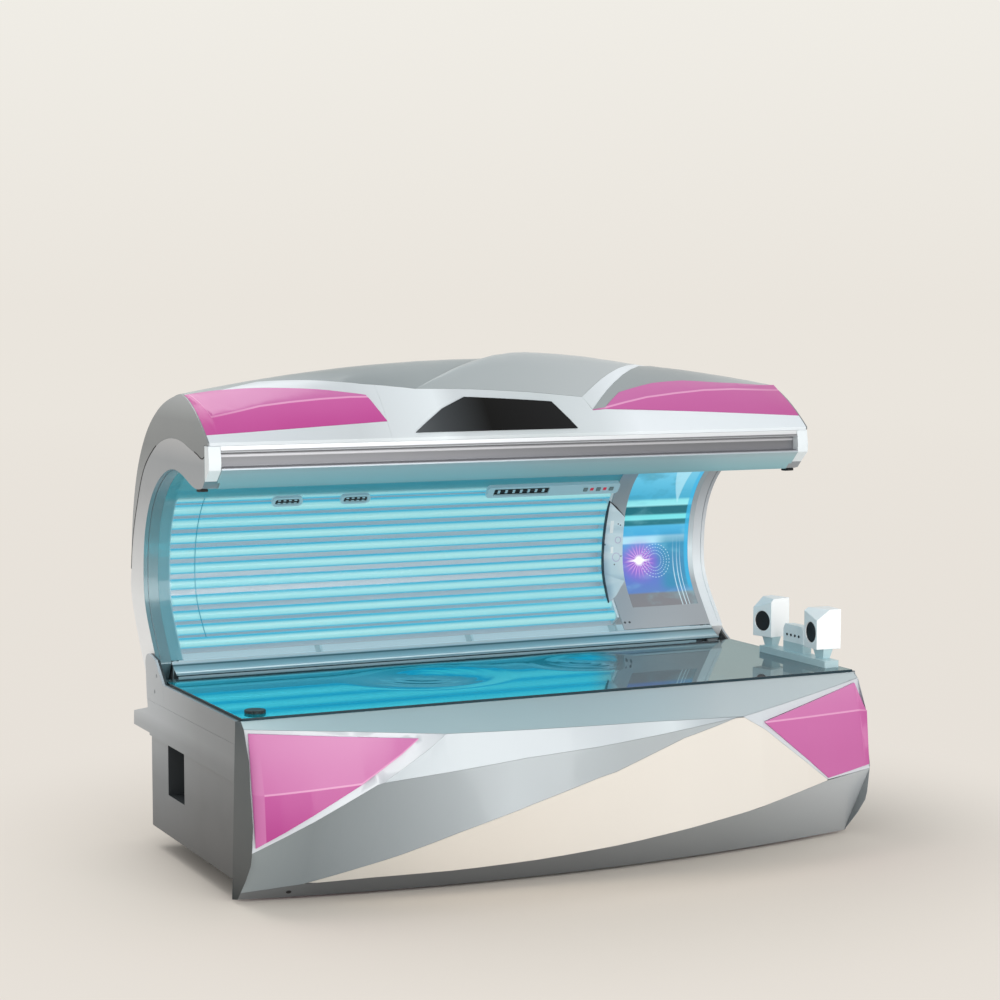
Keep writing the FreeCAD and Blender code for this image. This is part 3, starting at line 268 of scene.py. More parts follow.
def moulded(name, values):
    # fine grained plastic
    net = Net(name)
    wear = net.noise(8.0, 4.0)
    tint = values["colour"]
    # painted shade: faces turned one way take a darker tone
    if "turned" in values:
        axis, low, high, colour = values["turned"]
        tint = net.mix(net.facing(axis, low, high), tint, colour)
    # painted highlight: everything above a height is made lighter
    if "aboveZ" in values:
        low, high, colour = values["aboveZ"]
        tint = net.mix(net.axes()[2].ramp(low, high), tint, colour)
    net.set("Base Color", net.mix(wear.ramp(0.4, 0.75) * 0.6, tint, wearHaze, "MULTIPLY"))
    net.set("Roughness", wear * 0.15 + (values["roughness"] - 0.07))
    # on the tray, bezels, slats, speakers and canopy frame the glow is painted light
    if "glow" in values:
        net.shine(values["colour"], values["glow"])
    net.bump(net.noise(values.get("grainScale", 1400.0), 3.0), values.get("grain", 0.15), 0.0004)
    return net.material


def drawnMetal(name, values):
    # rolled or drawn metal with fine lines along the bed
    net = Net(name)
    lines = net.noise(60.0, 3.0, (0.3, 30, 30))
    # the bands across the height of the lip and rails are painted highlights, painted shade and painted lamp
    # light
    net.set("Base Color", net.mix(lines.ramp(0.3, 0.7) * 0.25, net.layers(values), wearHaze, "MULTIPLY"))
    net.set("Metallic", values.get("metallic", 1.0))
    net.set("Roughness", lines * 0.08 + (values["roughness"] - 0.04))
    # painted glow: the reflector's glow stands in for lamp light falling on it
    if "glow" in values:
        net.shine(values["colour"], values["glow"])
    net.bump(lines, 0.03, 0.0002)
    return net.material


def litLens(name, values):
    # tinted lens with a lamp behind it: paler above its crease and deeper below as painted light and shade of
    # its two facets, a painted highlight on the crease, a paler sliver at the foot end, lighter towards the
    # head and darker at the outer ends as painted light and shade
    net = Net(name)
    x, _, z = net.axes()
    head = x.above(0.0)
    rise = z - (1.0 - head) * net.line(x, values["leftCrease"]) - head * net.line(x, values["rightCrease"])
    sliver = x.below(values["sliver"])
    # painted light and shade of the facets: deep below the crease, pale above it
    colour = net.mix(rise.ramp(-values["depth"], 0.0), values["deep"], values["mid"])
    # painted light on the head side
    colour = net.mix(head * values["headShare"], colour, values["light"])
    pale = net.mix(rise.ramp(0.0, values["depth"]), values["light"], values["pale"])
    colour = net.mix(rise.ramp(-0.0012, 0.0012), colour, pale)
    # painted light on the foot-end sliver
    colour = net.mix(sliver * values["sliverShare"], colour, values["pale"])
    # painted highlight along the crease
    colour = net.mix(rise.size().ramp(0.0042, 0.0014) * 0.6 * (1.0 - sliver), colour, values["crease"])
    # painted shade towards the outer ends
    colour = net.mix(x.size().ramp(*values["outerShade"]) * 0.4, colour, values["deep"])
    colour = net.mix(net.noise(3.0, 2.0).ramp(0.35, 0.75) * 0.1, colour, values["pale"])
    net.set("Base Color", net.mix(0.4, colour, black))
    net.shine(colour, values["glow"])
    net.set("Roughness", net.noise(30.0, 2.0) * 0.05 + 0.3)
    net.set("Specular IOR Level", 0.3).set("Coat Weight", 0.1).set("Coat Roughness", 0.15)
    return net.material


def tubeGlow(name, values):
    # a lit tube is palest where it faces out of the bed and deep at its flanks
    net = Net(name)
    across, up = net.normals()[1:]
    outward = -across if values["axis"] == 1 else up
    colour = net.mix(outward.ramp(values["edge"], values["middle"]), values["deep"], values["pale"])
    colour = net.mix(net.noise(1.5, 3.0, (0.6, 6, 6)).ramp(0.4, 0.75) * 0.35, colour, values["second"])
    if "headTone" in values:
        low, high, tone = values["headTone"]
        colour = net.mix(net.axes()[0].ramp(low, high), colour, tone)
    net.set("Base Color", sRGB(20, 60, 70)).set("Roughness", 0.3)
    net.shine(colour, values["glow"])
    return net.material


def tunnelClear(name, values):
    # clear sheet in front of the lamps, made nearly opaque in a band at its upper edge, tinted as painted
    # teal shade, and in a band at its foot end, tinted as painted lamp light on the parts behind it
    net = Net(name)
    x, _, z = net.axes()
    top = z.ramp(*values["paintedBandHeight"])
    paintedBand = (top + (0.0 - x).ramp(*values["paintedBandEnd"])).limited()
    net.set("Base Color", net.mix(paintedBand, values["clear"], net.mix(top, values["end"], values["top"])))
    net.set("Alpha", paintedBand * (values["paintedBandAlpha"] - values["alpha"]) + values["alpha"])
    net.set("Roughness", net.noise(30.0, 3.0) * 0.04 + 0.04)
    net.set("Specular IOR Level", 0.4)
    return net.material


def benchMirror(name, values):
    # glossy lying sheet with two shallow hollows in its bump that bend what it mirrors into rings; the same
    # rings are laid into its colour as painted reflection, its cyan is painted lamp light from below, and
    # zones towards the rear and the head end carry painted reflections
    net = Net(name)
    x, y, _ = net.axes()
    height = rings = 0.0
    for centreX, centreY, radiusX, radiusY, depth in values["hollows"]:
        r = (((x - centreX) * (1 / radiusX)) ** 2.0 + ((y - centreY) * (1 / radiusY)) ** 2.0).root()
        height = height - r.ramp(1.0, 0.0) * depth
        rings = rings + (r * values["ringCount"]).sine() * r.ramp(1.0, 0.8) * values["ringDepth"]
    # painted reflections: a zone towards the head end with a slanted edge and a zone towards the rear
    head = (x - y * values["headSlant"]).ramp(*values["headReflection"])
    plain = (y.ramp(*values["rearReflection"]) + head).limited()
    # painted lamp light: the cyan stands in for the lamps below shining through
    tint = net.mix(plain, values["lit"], net.mix(head, values["rear"], values["head"]))
    # painted reflection: lighter rings laid into the colour
    net.set("Base Color", net.mix(rings.ramp(-0.02, 0.06) * 0.25 * (1.0 - plain), tint, values["ring"]))
    net.set("Metallic", values["metallic"] - plain * values["duller"])
    net.set("Roughness", net.noise(20.0, 3.0) * 0.02 + values["roughness"])
    net.set("Alpha", values["alpha"]).set("Specular Tint", values["grazing"])
    net.bump(height + rings, 1.0, values["distance"])
    return net.material


def markSpread(x, z, centre):
    # offsets and distance from the centre of a mark on an upright face
    across, up = x - centre[0], z - centre[1]
    return across, up, (across ** 2.0 + up ** 2.0).root()


def facePattern(name, values):
    # glass of the face lamps: bars of light, a bright burst and rings of small dashes
    net = Net(name)
    x, _, z = net.axes()
    deep, haze, edge, burst, rings, glare = (
        values[key] for key in ("deep", "haze", "edge", "burst", "rings", "glare"))
    colour = net.bands(z, values["bars"])
    colour = net.mix(x.ramp(*deep["x"]) * z.ramp(*deep["low"]) * z.ramp(*deep["high"]) * 0.85, colour,
                     deep["tone"])
    cloud = net.noise(9.0, 3.0, (1.0, 1.0, 2.2))
    colour = net.mix(cloud.ramp(0.45, 0.7) * z.ramp(*haze["from"]) * 0.7, colour, haze["dark"])
    colour = net.mix(cloud.ramp(0.5, 0.8) * 0.25, colour, haze["light"])
    colour = net.mix(x.ramp(*edge["x"]) * z.ramp(*edge["z"]) * 0.8, colour, edge["tone"])
    across, up, r = markSpread(x, z, burst["centre"])
    colour = net.mix(r.ramp(*burst["halo"]) * 0.7, colour, burst["haloTone"])
    rays = (up.angleTo(across) * burst["rays"]).sine().ramp(0.1, 0.9) * r.ramp(*burst["reach"])
    colour = net.mix(rays * 0.9, colour, burst["rayTone"])
    beam = up.size().ramp(*burst["beamHeight"]) * across.size().ramp(*burst["beamReach"])
    colour = net.mix((r.ramp(*burst["core"]) + beam).limited(), colour, burst["coreTone"])
    across, up, r = markSpread(x, z, rings["centre"])
    dashes = (up.angleTo(across) * rings["dashes"]).sine().above(0.0)
    ring = ((r * rings["pitch"]).sine().ramp(0.55, 0.95) * dashes
            * r.below(rings["outer"]) * r.above(rings["inner"]))
    colour = net.mix(ring * 0.65, colour, rings["tone"])
    shine = (x + z * 0.42 - glare["left"]).ramp(0.0, 0.004) * (x - z * 0.10 - glare["right"]).ramp(0.006, 0.0)
    colour = net.mix(shine * z.ramp(*glare["from"]) * 0.55, colour, glare["tone"])
    lines = sum((x - at).size().below(width) for at, width in values["lines"])
    colour = net.mix(lines.limited() * z.ramp(*values["lineFade"]) * 0.7, colour, values["lineTone"])
    net.set("Base Color", net.mix(0.8, colour, black))
    net.shine(colour, values["glow"])
    net.set("Roughness", net.noise(20.0, 2.0) * 0.05 + 0.3)
    net.set("Alpha", values["alpha"])
    return net.material


def touchPanel(name, values):
    # printed front of the control panel: dark rim at its free edges, ring mark and small dots; darker to the
    # left and lighter towards the top as painted shade and light, and a painted glow
    net = Net(name)
    x, _, z = net.axes()
    colour = net.mix(x.ramp(*values["shadeX"]), values["shade"], values["colour"])
    colour = net.mix(z.ramp(*values["lightZ"]) * 0.5, colour, values["light"])
    leftRim = (x - (z - 0.744) * 0.0435 - 0.6723).below(0.0062)
    topRim = (x + (z - 1.071) * 1.203 - 0.7703).above(-0.0075) * z.above(1.066)
    colour = net.mix((leftRim + topRim).limited(), colour, values["rim"])
    for *centre, radius, width in values["rings"]:
        r = markSpread(x, z, centre)[2]
        colour = net.mix((r - radius).size().below(width) * 0.6, colour, values["mark"])
    for centre in values["dots"]:
        colour = net.mix(markSpread(x, z, centre)[2].below(values["dotRadius"]), colour, values["rim"])
    net.set("Base Color", colour)
    # painted glow
    net.shine(colour, values["glow"])
    net.set("Roughness", net.noise(30.0) * 0.1 + 0.28)
    net.set("Coat Weight", 0.4)
    net.bump(net.noise(900.0), 0.03, 0.0003)
    return net.material


# ---- finishes: places in metres in the frame's axes, colours as screen levels
lacquers = {
    # the tone shifting along the bed is painted reflection and shade
    "apronSilver": {"alongX": ((-1.1, (178, 202, 207)), (-0.2, (176, 198, 203)), (0.5, (182, 195, 200)),
            (1.1, (190, 202, 206))), "metallic": 0.1, "roughness": 0.36},
    # the lighter stretch near the middle and the darker ends are painted light and shade
    "facetWhite": {"alongX": ((-0.75, (176, 186, 192)), (-0.45, (192, 201, 206)), (0.1, (194, 202, 207)),
            (0.3, (209, 218, 222)), (0.42, (184, 193, 198)), (0.55, (176, 186, 192))), "roughness": 0.3,
        "coat": 0.2,
        "cloud": 0.15},
    "facetCream": {"alongX": ((-0.95, (222, 220, 214)), (-0.5, (228, 223, 215)), (0.95, (223, 218, 210))),
        "roughness": 0.3, "coat": 0.35},
    # darker towards the foot end and lighter towards the head: painted shade and light
    "facetGrey": {"alongX": ((-1.14, (146, 156, 160)), (-0.95, (130, 139, 143)), (-0.6, (146, 154, 158)),
            (0.0, (162, 170, 174)), (0.55, (172, 179, 182))), "metallic": 0.1, "roughness": 0.34},
    # darker towards the foot end and the bottom, lighter at the head: painted shade and light on a face
    # turned down
    "facetLower": {"alongX": ((-1.14, (134, 139, 143)), (-0.9, (108, 113, 117)), (-0.5, (110, 115, 119)),
            (0.0, (128, 133, 137)), (0.6, (160, 166, 170)), (1.14, (192, 198, 202))),
        "alongZ": ((0.02, (212, 212, 212)), (0.22, (255, 255, 255))), "metallic": 0.1, "roughness": 0.34},
    # the lighter and darker patches along the bed are painted light and shade
    "fasciaWhite": {"alongX": ((-1.13, (206, 214, 220)), (-0.6, (196, 203, 207)), (-0.3, (220, 228, 232)),
            (-0.22, (200, 207, 211)), (0.1, (194, 203, 206)), (0.3, (206, 214, 218)), (0.45, (226, 233, 238)),
            (1.13, (222, 230, 235))), "roughness": 0.3, "coat": 0.15, "cloud": 0.15},
    # darker near the foot end and lightest at the head: painted shade and light
    "shellSilver": {"alongX": ((-1.13, (150, 160, 163)), (-0.6, (128, 138, 141)), (-0.3, (148, 157, 160)),
            (0.75, (152, 160, 163)), (1.13, (176, 184, 188))), "metallic": 0.15, "roughness": 0.36},
    # lighter towards the head end: painted light
    "hoodSilver": {"alongX": ((-0.35, (158, 167, 170)), (0.1, (170, 178, 181)), (0.5, (183, 190, 193)),
            (0.76, (196, 202, 205))), "metallic": 0.1, "roughness": 0.36},
    # palest low down and darker up the arch: painted light and shade; the teal on the foot ring's faces
    # turned to the front and inward is painted lamp light and shade
    "ringSilver": {"alongZ": ((0.55, (250, 252, 254)), (0.85, (236, 240, 243)), (1.1, (186, 190, 195)),
            (1.25, (148, 154, 160)), (1.36, (138, 145, 152)), (1.43, (170, 173, 177))),
        "footTurned": ((1, -0.45, -0.75, sRGB(112, 142, 150)), (0, 0.5, 0.8, sRGB(90, 140, 152))),
        "metallic": 0.1, "roughness": 0.34},
    # darkest across its middle height, lighter below and at the top: painted shade
    "cheekGrey": {"alongZ": ((0.94, (176, 180, 184)), (1.25, (136, 142, 146)), (1.4, (106, 113, 117)),
            (1.5, (118, 125, 129)), (1.58, (160, 167, 171))), "metallic": 0.1, "roughness": 0.36},
    # darker to the front and the bottom, lighter to the rear and near white at the upper edge: painted light
    # and shade; the dark tone inward of the panel face is painted shade in the recess
    "sideGrey": {"insideX": (1.1455, sRGB(52, 57, 60)),
        "alongY": ((-0.47, (114, 119, 123)), (-0.1, (134, 139, 143)), (0.35, (182, 188, 193)),
            (0.64, (201, 206, 210))),
        "alongZ": ((0.05, (106, 110, 114)), (0.25, (154, 158, 162)), (0.42, (218, 220, 222)),
            (0.46, (250, 251, 252))),
        "roughness": 0.42, "coat": 0.2},
    # the teal light given off by faces turned to the front is a painted glow of lamp light
    "rearGrey": {"colour": sRGB(150, 154, 158), "lit": (1, -0.6, -0.72, sRGB(140, 170, 180)),
        "roughness": 0.42, "coat": 0.2},
    # one finish for both corner trims, dark at the foot corner and light at the head corner: painted shade
    # and light; darker towards the bottom: painted shade
    "cornerGrey": {"alongX": ((-1.2, (70, 80, 84)), (-0.2, (70, 80, 84)), (0.2, (184, 192, 196)),
        (1.2, (184, 192, 196))), "alongZ": ((0.02, (170, 172, 174)), (0.5, (250, 250, 250))),
        "metallic": 0.1, "roughness": 0.4, "coat": 0.2},
    "lensFrame": {"colour": sRGB(204, 210, 215), "roughness": 0.3},
    # the light band around mid height is a painted highlight, the darker tones above it painted shade
    "frameSilver": {"alongZ": ((0.65, (176, 180, 185)), (0.8, (168, 172, 178)), (0.87, (204, 214, 219)),
            (0.93, (222, 234, 239)), (1.0, (190, 200, 206)), (1.12, (160, 170, 177)),
            (1.33, (142, 164, 172))),
        "metallic": 0.2, "roughness": 0.32},
    # grey at the foot end fading to black in the middle: painted reflection
    "darkGlass": {"alongX": ((-0.4, (84, 88, 91)), (-0.3, (62, 66, 69)), (-0.12, (10, 11, 12)),
        (0.2, (26, 27, 29))), "roughness": 0.14, "coat": 0.0, "specular": 0.12, "peel": 0.0},
}
plastics = {
    "blackMoulded": {"colour": sRGB(20, 21, 23), "roughness": 0.45},
    "greyMoulded": {"colour": sRGB(126, 134, 138), "roughness": 0.5},
    # the lighter top is a painted highlight and the glow painted light
    "trayGrey": {"colour": sRGB(178, 204, 209), "aboveZ": (0.6535, 0.6545, sRGB(238, 246, 248)),
        "roughness": 0.35, "grain": 0.06, "glow": 0.1},
    # the glow is painted lamp light
    "bezelGrey": {"colour": sRGB(152, 184, 194), "roughness": 0.4, "grain": 0.06, "glow": 0.25},
    "keyGrey": {"colour": sRGB(112, 132, 134), "roughness": 0.4},
    "keyWhite": {"colour": sRGB(238, 243, 244), "roughness": 0.3, "grain": 0.03},
    "whiteMoulded": {"colour": sRGB(226, 234, 238), "roughness": 0.42, "grain": 0.03},
    # faces turned to the foot end darker: painted shade; the glow is painted light
    "speakerWhite": {"colour": sRGB(246, 250, 251), "turned": (0, -0.4, -0.8, sRGB(226, 238, 241)),
        "roughness": 0.36, "grain": 0.03, "glow": 0.08},
    "coneBlack": {"colour": sRGB(16, 17, 22), "roughness": 0.6, "grainScale": 260.0, "grain": 0.8},
    "blackRubber": {"colour": sRGB(16, 16, 17), "roughness": 0.75, "grain": 0.3},
    "redLight": {"colour": sRGB(188, 40, 62), "roughness": 0.3, "glow": 0.35},
    # the glow is painted lamp light
    "frameLight": {"colour": sRGB(160, 186, 192), "roughness": 0.5, "grain": 0.1, "glow": 0.3},
    "frameSteel": {"colour": sRGB(72, 75, 79), "roughness": 0.5, "grain": 0.3},
    "seamTeal": {"colour": sRGB(60, 150, 172), "roughness": 0.4, "grain": 0.0},
    "sheetEdge": {"colour": sRGB(6, 44, 56), "roughness": 0.2, "grain": 0.0},
}
metals = {
    # the white at the top is its own colour; the light and dark stripes below are painted highlights and
    # painted shade in the slot, the teal of the lower face painted lamp light
    "lipMetal": {"alongZ": ((1.286, (134, 180, 190)), (1.3, (144, 188, 197)), (1.334, (158, 190, 198)),
            (1.338, (160, 188, 196)), (1.35, (162, 183, 190)), (1.353, (174, 182, 190)),
            (1.357, (124, 125, 131)), (1.372, (121, 122, 127)), (1.39, (111, 113, 116)),
            (1.3925, (182, 183, 187)), (1.397, (186, 187, 192)), (1.399, (134, 135, 140)),
            (1.404, (140, 142, 147)), (1.4075, (184, 188, 192)), (1.4105, (112, 114, 118)),
            (1.414, (120, 122, 126)), (1.4155, (212, 216, 220)), (1.4286, (218, 222, 226))), "metallic": 0.2,
        "roughness": 0.3},
    # the bright stripes are painted highlights, the dark lines painted shade, the teal painted lamp light
    "railMetal": {"alongZ": ((0.6008, (20, 48, 56)), (0.604, (24, 56, 64)), (0.6062, (118, 146, 154)),
            (0.6096, (138, 164, 174)), (0.614, (204, 226, 232)), (0.6165, (178, 206, 216)),
            (0.6225, (150, 184, 194)), (0.631, (132, 162, 172)), (0.6325, (84, 110, 117)),
            (0.6358, (80, 106, 114)), (0.638, (190, 208, 216)), (0.6466, (208, 222, 228))), "metallic": 0.2,
            "roughness": 0.26},
    # the glow is painted lamp light on the reflector
    "mirrorMetal": {"colour": sRGB(158, 160, 163), "roughness": 0.4, "metallic": 0.3, "glow": 0.45},
    "bedMetal": {"colour": sRGB(40, 120, 134), "roughness": 0.3, "metallic": 0.5},
    "polishedSteel": {"colour": sRGB(205, 208, 211), "roughness": 0.15},
}
lenses = {
    # pale, light, mid and deep are painted light and shade of the facets, crease a painted highlight
    "basePink": {"leftCrease": ((-1.129, 0.367), (-1.097, 0.367), (-0.796, 0.388), (-0.602, 0.514)),
        "rightCrease": ((0.674, 0.47), (1.136, 0.464)), "sliver": -1.0985, "sliverShare": 0.6,
        "headShare": 0.6, "depth": 0.16, "outerShade": (1.1, 1.14), "deep": sRGB(182, 68, 142),
        "mid": sRGB(194, 88, 157), "light": sRGB(206, 118, 174), "pale": sRGB(213, 134, 184),
        "crease": sRGB(244, 188, 220), "glow": 0.36},
    "canopyPink": {"leftCrease": ((-1.117, 1.5885), (-1.1095, 1.5757), (-1.102, 1.5606), (-1.0942, 1.5185),
            (-1.011, 1.533), (-0.92, 1.5502), (-0.813, 1.5611), (-0.706, 1.569), (-0.599, 1.574)),
        "rightCrease": ((0.34, 1.5225), (0.429, 1.5397), (0.521, 1.5552), (0.6485, 1.5667), (0.775, 1.5747),
            (0.909, 1.5755), (1.108, 1.5673)), "sliver": -2.0, "sliverShare": 0.0, "headShare": 0.5,
            "depth": 0.09,
        "outerShade": (0.9, 1.14), "deep": sRGB(188, 68, 146), "mid": sRGB(198, 88, 159),
        "light": sRGB(198, 108, 167), "pale": sRGB(203, 116, 173), "crease": sRGB(244, 186, 220),
        "glow": 0.36},
}
tubes = {
    "canopyLamp": {"axis": 1, "edge": 0.55, "middle": 0.98, "deep": sRGB(36, 162, 196),
        "pale": sRGB(158, 216, 217), "second": sRGB(106, 198, 214), "glow": 1.0,
        "headTone": (0.7, 0.74, sRGB(70, 165, 215))},
    "benchLamp": {"axis": 2, "edge": 0.2, "middle": 0.9, "deep": sRGB(0, 140, 168),
        "pale": sRGB(10, 172, 200), "second": sRGB(4, 158, 188), "glow": 0.9},
}
# top is the painted teal shade of the upper band, end the painted lamp light of the foot-end band
tunnelSheet = {"clear": sRGB(190, 225, 235), "alpha": 0.06, "paintedBandAlpha": 0.72, "paintedBandHeight": (1.195, 1.215),
    "paintedBandEnd": (1.034, 1.044), "top": sRGB(92, 170, 184), "end": sRGB(120, 172, 184)}
# lit is painted lamp light, rear and head are painted reflections, ring colours the painted rings
benchSheet = {"hollows": ((-0.28, 0.04, 0.34, 0.32, 0.8), (0.36, 0.1, 0.24, 0.26, 0.7)), "ringCount": 36.0,
    "ringDepth": 0.004, "grazing": sRGB(140, 232, 244), "rearReflection": (0.25, 0.3), "headReflection": (0.32, 0.46),
    "headSlant": 0.523,
    "lit": sRGB(22, 222, 242), "rear": sRGB(92, 114, 120), "head": sRGB(150, 142, 142),
    "ring": sRGB(90, 226, 238),
    "metallic": 0.75, "duller": 0.45, "roughness": 0.02, "alpha": 0.86, "distance": 0.012}
# shade and light are painted shade and light, and glow a painted glow
panelPrint = {"shadeX": (0.675, 0.72), "lightZ": (0.86, 1.08), "dotRadius": 0.0028,
    "colour": sRGB(178, 196, 203),
    "shade": sRGB(140, 160, 174), "light": sRGB(190, 206, 212), "rim": sRGB(30, 38, 48), "glow": 0.2,
    "mark": sRGB(140, 104, 168),
    "rings": ((0.746, 0.978, 0.012, 0.0012), (0.739, 0.912, 0.016, 0.0012)),
    "dots": ((0.76, 0.915), (0.69, 0.962), (0.742, 1.041), (0.752, 1.036), (0.73, 0.884))}
faceLight = {
    "bars": ((0.72, (126, 126, 131)), (0.768, (122, 124, 130)), (0.774, (92, 128, 190)),
        (0.83, (92, 118, 200)), (0.892, (86, 108, 198)), (0.955, (78, 158, 214)),
        (0.962, (176, 222, 240)), (0.983, (170, 218, 238)), (0.992, (60, 166, 214)), (1.026, (72, 178, 220)),
        (1.032, (16, 112, 126)), (1.048, (20, 118, 132)), (1.053, (122, 226, 230)),
        (1.067, (116, 222, 228)), (1.074, (12, 108, 122)), (1.102, (10, 104, 118)),
        (1.108, (150, 230, 235)), (1.126, (140, 226, 232)), (1.136, (66, 170, 204)),
        (1.2, (92, 190, 222)), (1.27, (120, 200, 228)), (1.334, (96, 190, 220))),
    "deep": {"x": (0.90, 0.97), "low": (0.76, 0.80), "high": (1.02, 0.95), "tone": sRGB(40, 140, 174)},
    "haze": {"from": (1.10, 1.16), "dark": sRGB(20, 130, 158), "light": sRGB(150, 226, 238)},
    "edge": {"x": (1.042, 1.048), "z": (0.77, 0.80), "tone": sRGB(48, 176, 222)},
    "burst": {"centre": (0.845, 0.893), "halo": (0.10, 0.025), "haloTone": sRGB(160, 92, 205), "rays": 22.0,
              "reach": (0.075, 0.015), "rayTone": sRGB(226, 170, 232), "beamHeight": (0.006, 0.001),
              "beamReach": (0.06, 0.01), "core": (0.026, 0.009), "coreTone": sRGB(255, 255, 255)},
    "rings": {"centre": (0.915, 0.890), "dashes": 30.0, "pitch": 520.0, "inner": 0.02, "outer": 0.066,
              "tone": sRGB(206, 238, 246)},
    "glare": {"left": 1.460, "right": 0.880, "from": (1.05, 1.12), "tone": sRGB(190, 236, 246)},
    "lines": ((0.995, 0.0022), (1.012, 0.0022), (1.026, 0.0016)), "lineFade": (1.0, 0.80),
    "lineTone": sRGB(208, 236, 246),
    "glow": 0.9, "alpha": 0.93}
finishes = {"tunnelSheet": tunnelClear("tunnelSheet", tunnelSheet),
            "benchSheet": benchMirror("benchSheet", benchSheet),
            "faceLight": facePattern("faceLight", faceLight),
            "panelPrint": touchPanel("panelPrint", panelPrint)}
for maker, table in ((lacquer, lacquers), (moulded, plastics), (drawnMetal, metals), (litLens, lenses),
    (tubeGlow, tubes)):
    finishes.update({name: maker(name, values) for name, values in table.items()})
print("stage: finishes made")

# ---- camera, floor and light
view = {"place": (-3.4847, -7.2910, 1.8896), "tilt": 85.135, "turn": -25.44, "lens": 83.635, "sensor": 36.0,
    "clipEnd": 200}
cameraData = bpy.data.cameras.new("viewCamera")
cameraData.lens = view["lens"]
cameraData.sensor_width = view["sensor"]
cameraData.clip_end = view["clipEnd"]
camera = bpy.data.objects.new("viewCamera", cameraData)
bpy.context.scene.collection.objects.link(camera)
camera.location = view["place"]
camera.rotation_euler = (math.radians(view["tilt"]), 0, math.radians(view["turn"]))
bpy.context.scene.camera = camera
bpy.context.scene.view_settings.view_transform = "Standard"

studio = {"floorSize": 120.0, "paper": ((-2.5, (226, 218, 207)), (3.0, (232, 225, 216))),
          "backdrop": ((0.0, (231, 225, 217)), (30.0, (234, 229, 221))), "sky": ((0.0, (234, 229, 221)),
              (0.13, (240, 237, 230))),
          "backdropFrom": (0.95, 2.4), "awayX": 0.43, "awayY": 0.90,
          "worldLight": (0.97, 0.985, 1.0, 1.0), "worldStrength": 0.5, "lightsAimAt": (0, 0, 0.7),
          "lights": (("keyLight", (1.0, -8.0, 2.6), 5.0, 350), ("topLight", (-1.5, 2.5, 5.5), 4.0, 150),
                     ("footLight", (-5.5, -4.0, 2.2), 4.0, 60))}


def makeFloor():
    deselectAll()
    bpy.ops.mesh.primitive_grid_add(x_subdivisions=12, y_subdivisions=12, size=studio["floorSize"],
                                    location=(0, 0, 0))
    floor = bpy.context.object
    floor.name = "studioFloor"
    net = Net("studioPaper")
    x, y, _ = net.axes()
    away = x * studio["awayX"] + y * studio["awayY"]
    net.set("Base Color", net.bands(away, studio["paper"]))
    net.set("Roughness", net.noise(2.0) * 0.1 + 0.85)
    net.set("Specular IOR Level", 0.0)
    # far from the bed the paper turns into the plain backdrop
    glow = net.add("ShaderNodeEmission", {}, {"Color": net.bands(away, studio["backdrop"])})
    distance = (x ** 2.0 + y ** 2.0).root()
    blend = net.add("ShaderNodeMixShader", {}, {0: distance.ramp(*studio["backdropFrom"]),
        1: Wire(net, net.shader.outputs[0]), 2: glow})
    net.tree.links.new(blend.socket, net.tree.nodes["Material Output"].inputs["Surface"])
    setMaterial(floor, net.material)


def makeWorld():
    world = bpy.data.worlds.new("studioWorld")
    bpy.context.scene.world = world
    net = Net("studioWorld", world, "Background")
    height = net.split(net.add("ShaderNodeTexCoord", {}, {}, "Generated"))[2]
    seen = net.add("ShaderNodeBackground", {}, {"Color": net.bands(height, studio["sky"]), "Strength": 1.0})
    net.set("Color", studio["worldLight"]).set("Strength", studio["worldStrength"])
    path = net.add("ShaderNodeLightPath", {}, {}, "Is Camera Ray").socket.node
    seenRay, glossyRay, throughRay = (
        Wire(net, path.outputs["Is %s Ray" % kind]) for kind in ("Camera", "Glossy", "Transmission"))
    direct = (seenRay + glossyRay + throughRay).limited()
    blend = net.add("ShaderNodeMixShader", {}, {0: direct, 1: Wire(net, net.shader.outputs[0]), 2: seen})
    net.tree.links.new(blend.socket, net.tree.nodes["World Output"].inputs["Surface"])


def makeLights():
    for name, place, size, power in studio["lights"]:
        lightData = bpy.data.lights.new(name, "AREA")
        lightData.size = size
        lightData.energy = power
        lamp = bpy.data.objects.new(name, lightData)
        bpy.context.scene.collection.objects.link(lamp)
        lamp.location = place
        lamp.rotation_euler = (Vector(studio["lightsAimAt"])
                               - Vector(place)).to_track_quat("-Z", "Y").to_euler()


makeFloor()
makeWorld()
makeLights()
print("stage: studio made")


# ---- CAD nodes whose edges are softened
def copyNode(node, merge=0.4):
    source = cadNodes[node]
    piece = source.copy()
    piece.data = source.data.copy()
    for key in list(piece.keys()):
        del piece[key]
    piece.parent = None
    bpy.context.scene.collection.objects.link(piece)
    piece.hide_viewport = False
    piece.hide_render = False
    piece.hide_set(False)
    editOn(piece)
    bpy.ops.mesh.remove_doubles(threshold=0.000002)
    bpy.ops.mesh.dissolve_limited(angle_limit=math.radians(merge))
    bpy.ops.mesh.select_all(action="DESELECT")
    editOff()
    return piece


def soften(piece, width, angle=30):
    if width:
        applyModifier(piece, "BEVEL", width=width, segments=2, limit_method="ANGLE",
                      angle_limit=math.radians(32), use_clamp_overlap=True)
    smoothByAngle(piece, angle)


def dress(node, finish, width, merge=0.4, angle=30):
    piece = copyNode(node, merge)
    soften(piece, width, angle)
    settle(piece, node + "Dressed", finish, bodyOf[node])
    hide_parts(node)


def dressParts(node, width, largeFinish, smallFinish, isLarge):
    # the separate solids of a node get their own finishes
    for number, part in enumerate(splitLoose(copyNode(node))):
        soften(part, width)
        finish = largeFinish if isLarge(number, part) else smallFinish
        settle(part, node + "Part%02d" % number, finish, bodyOf[node])
        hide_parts(node)


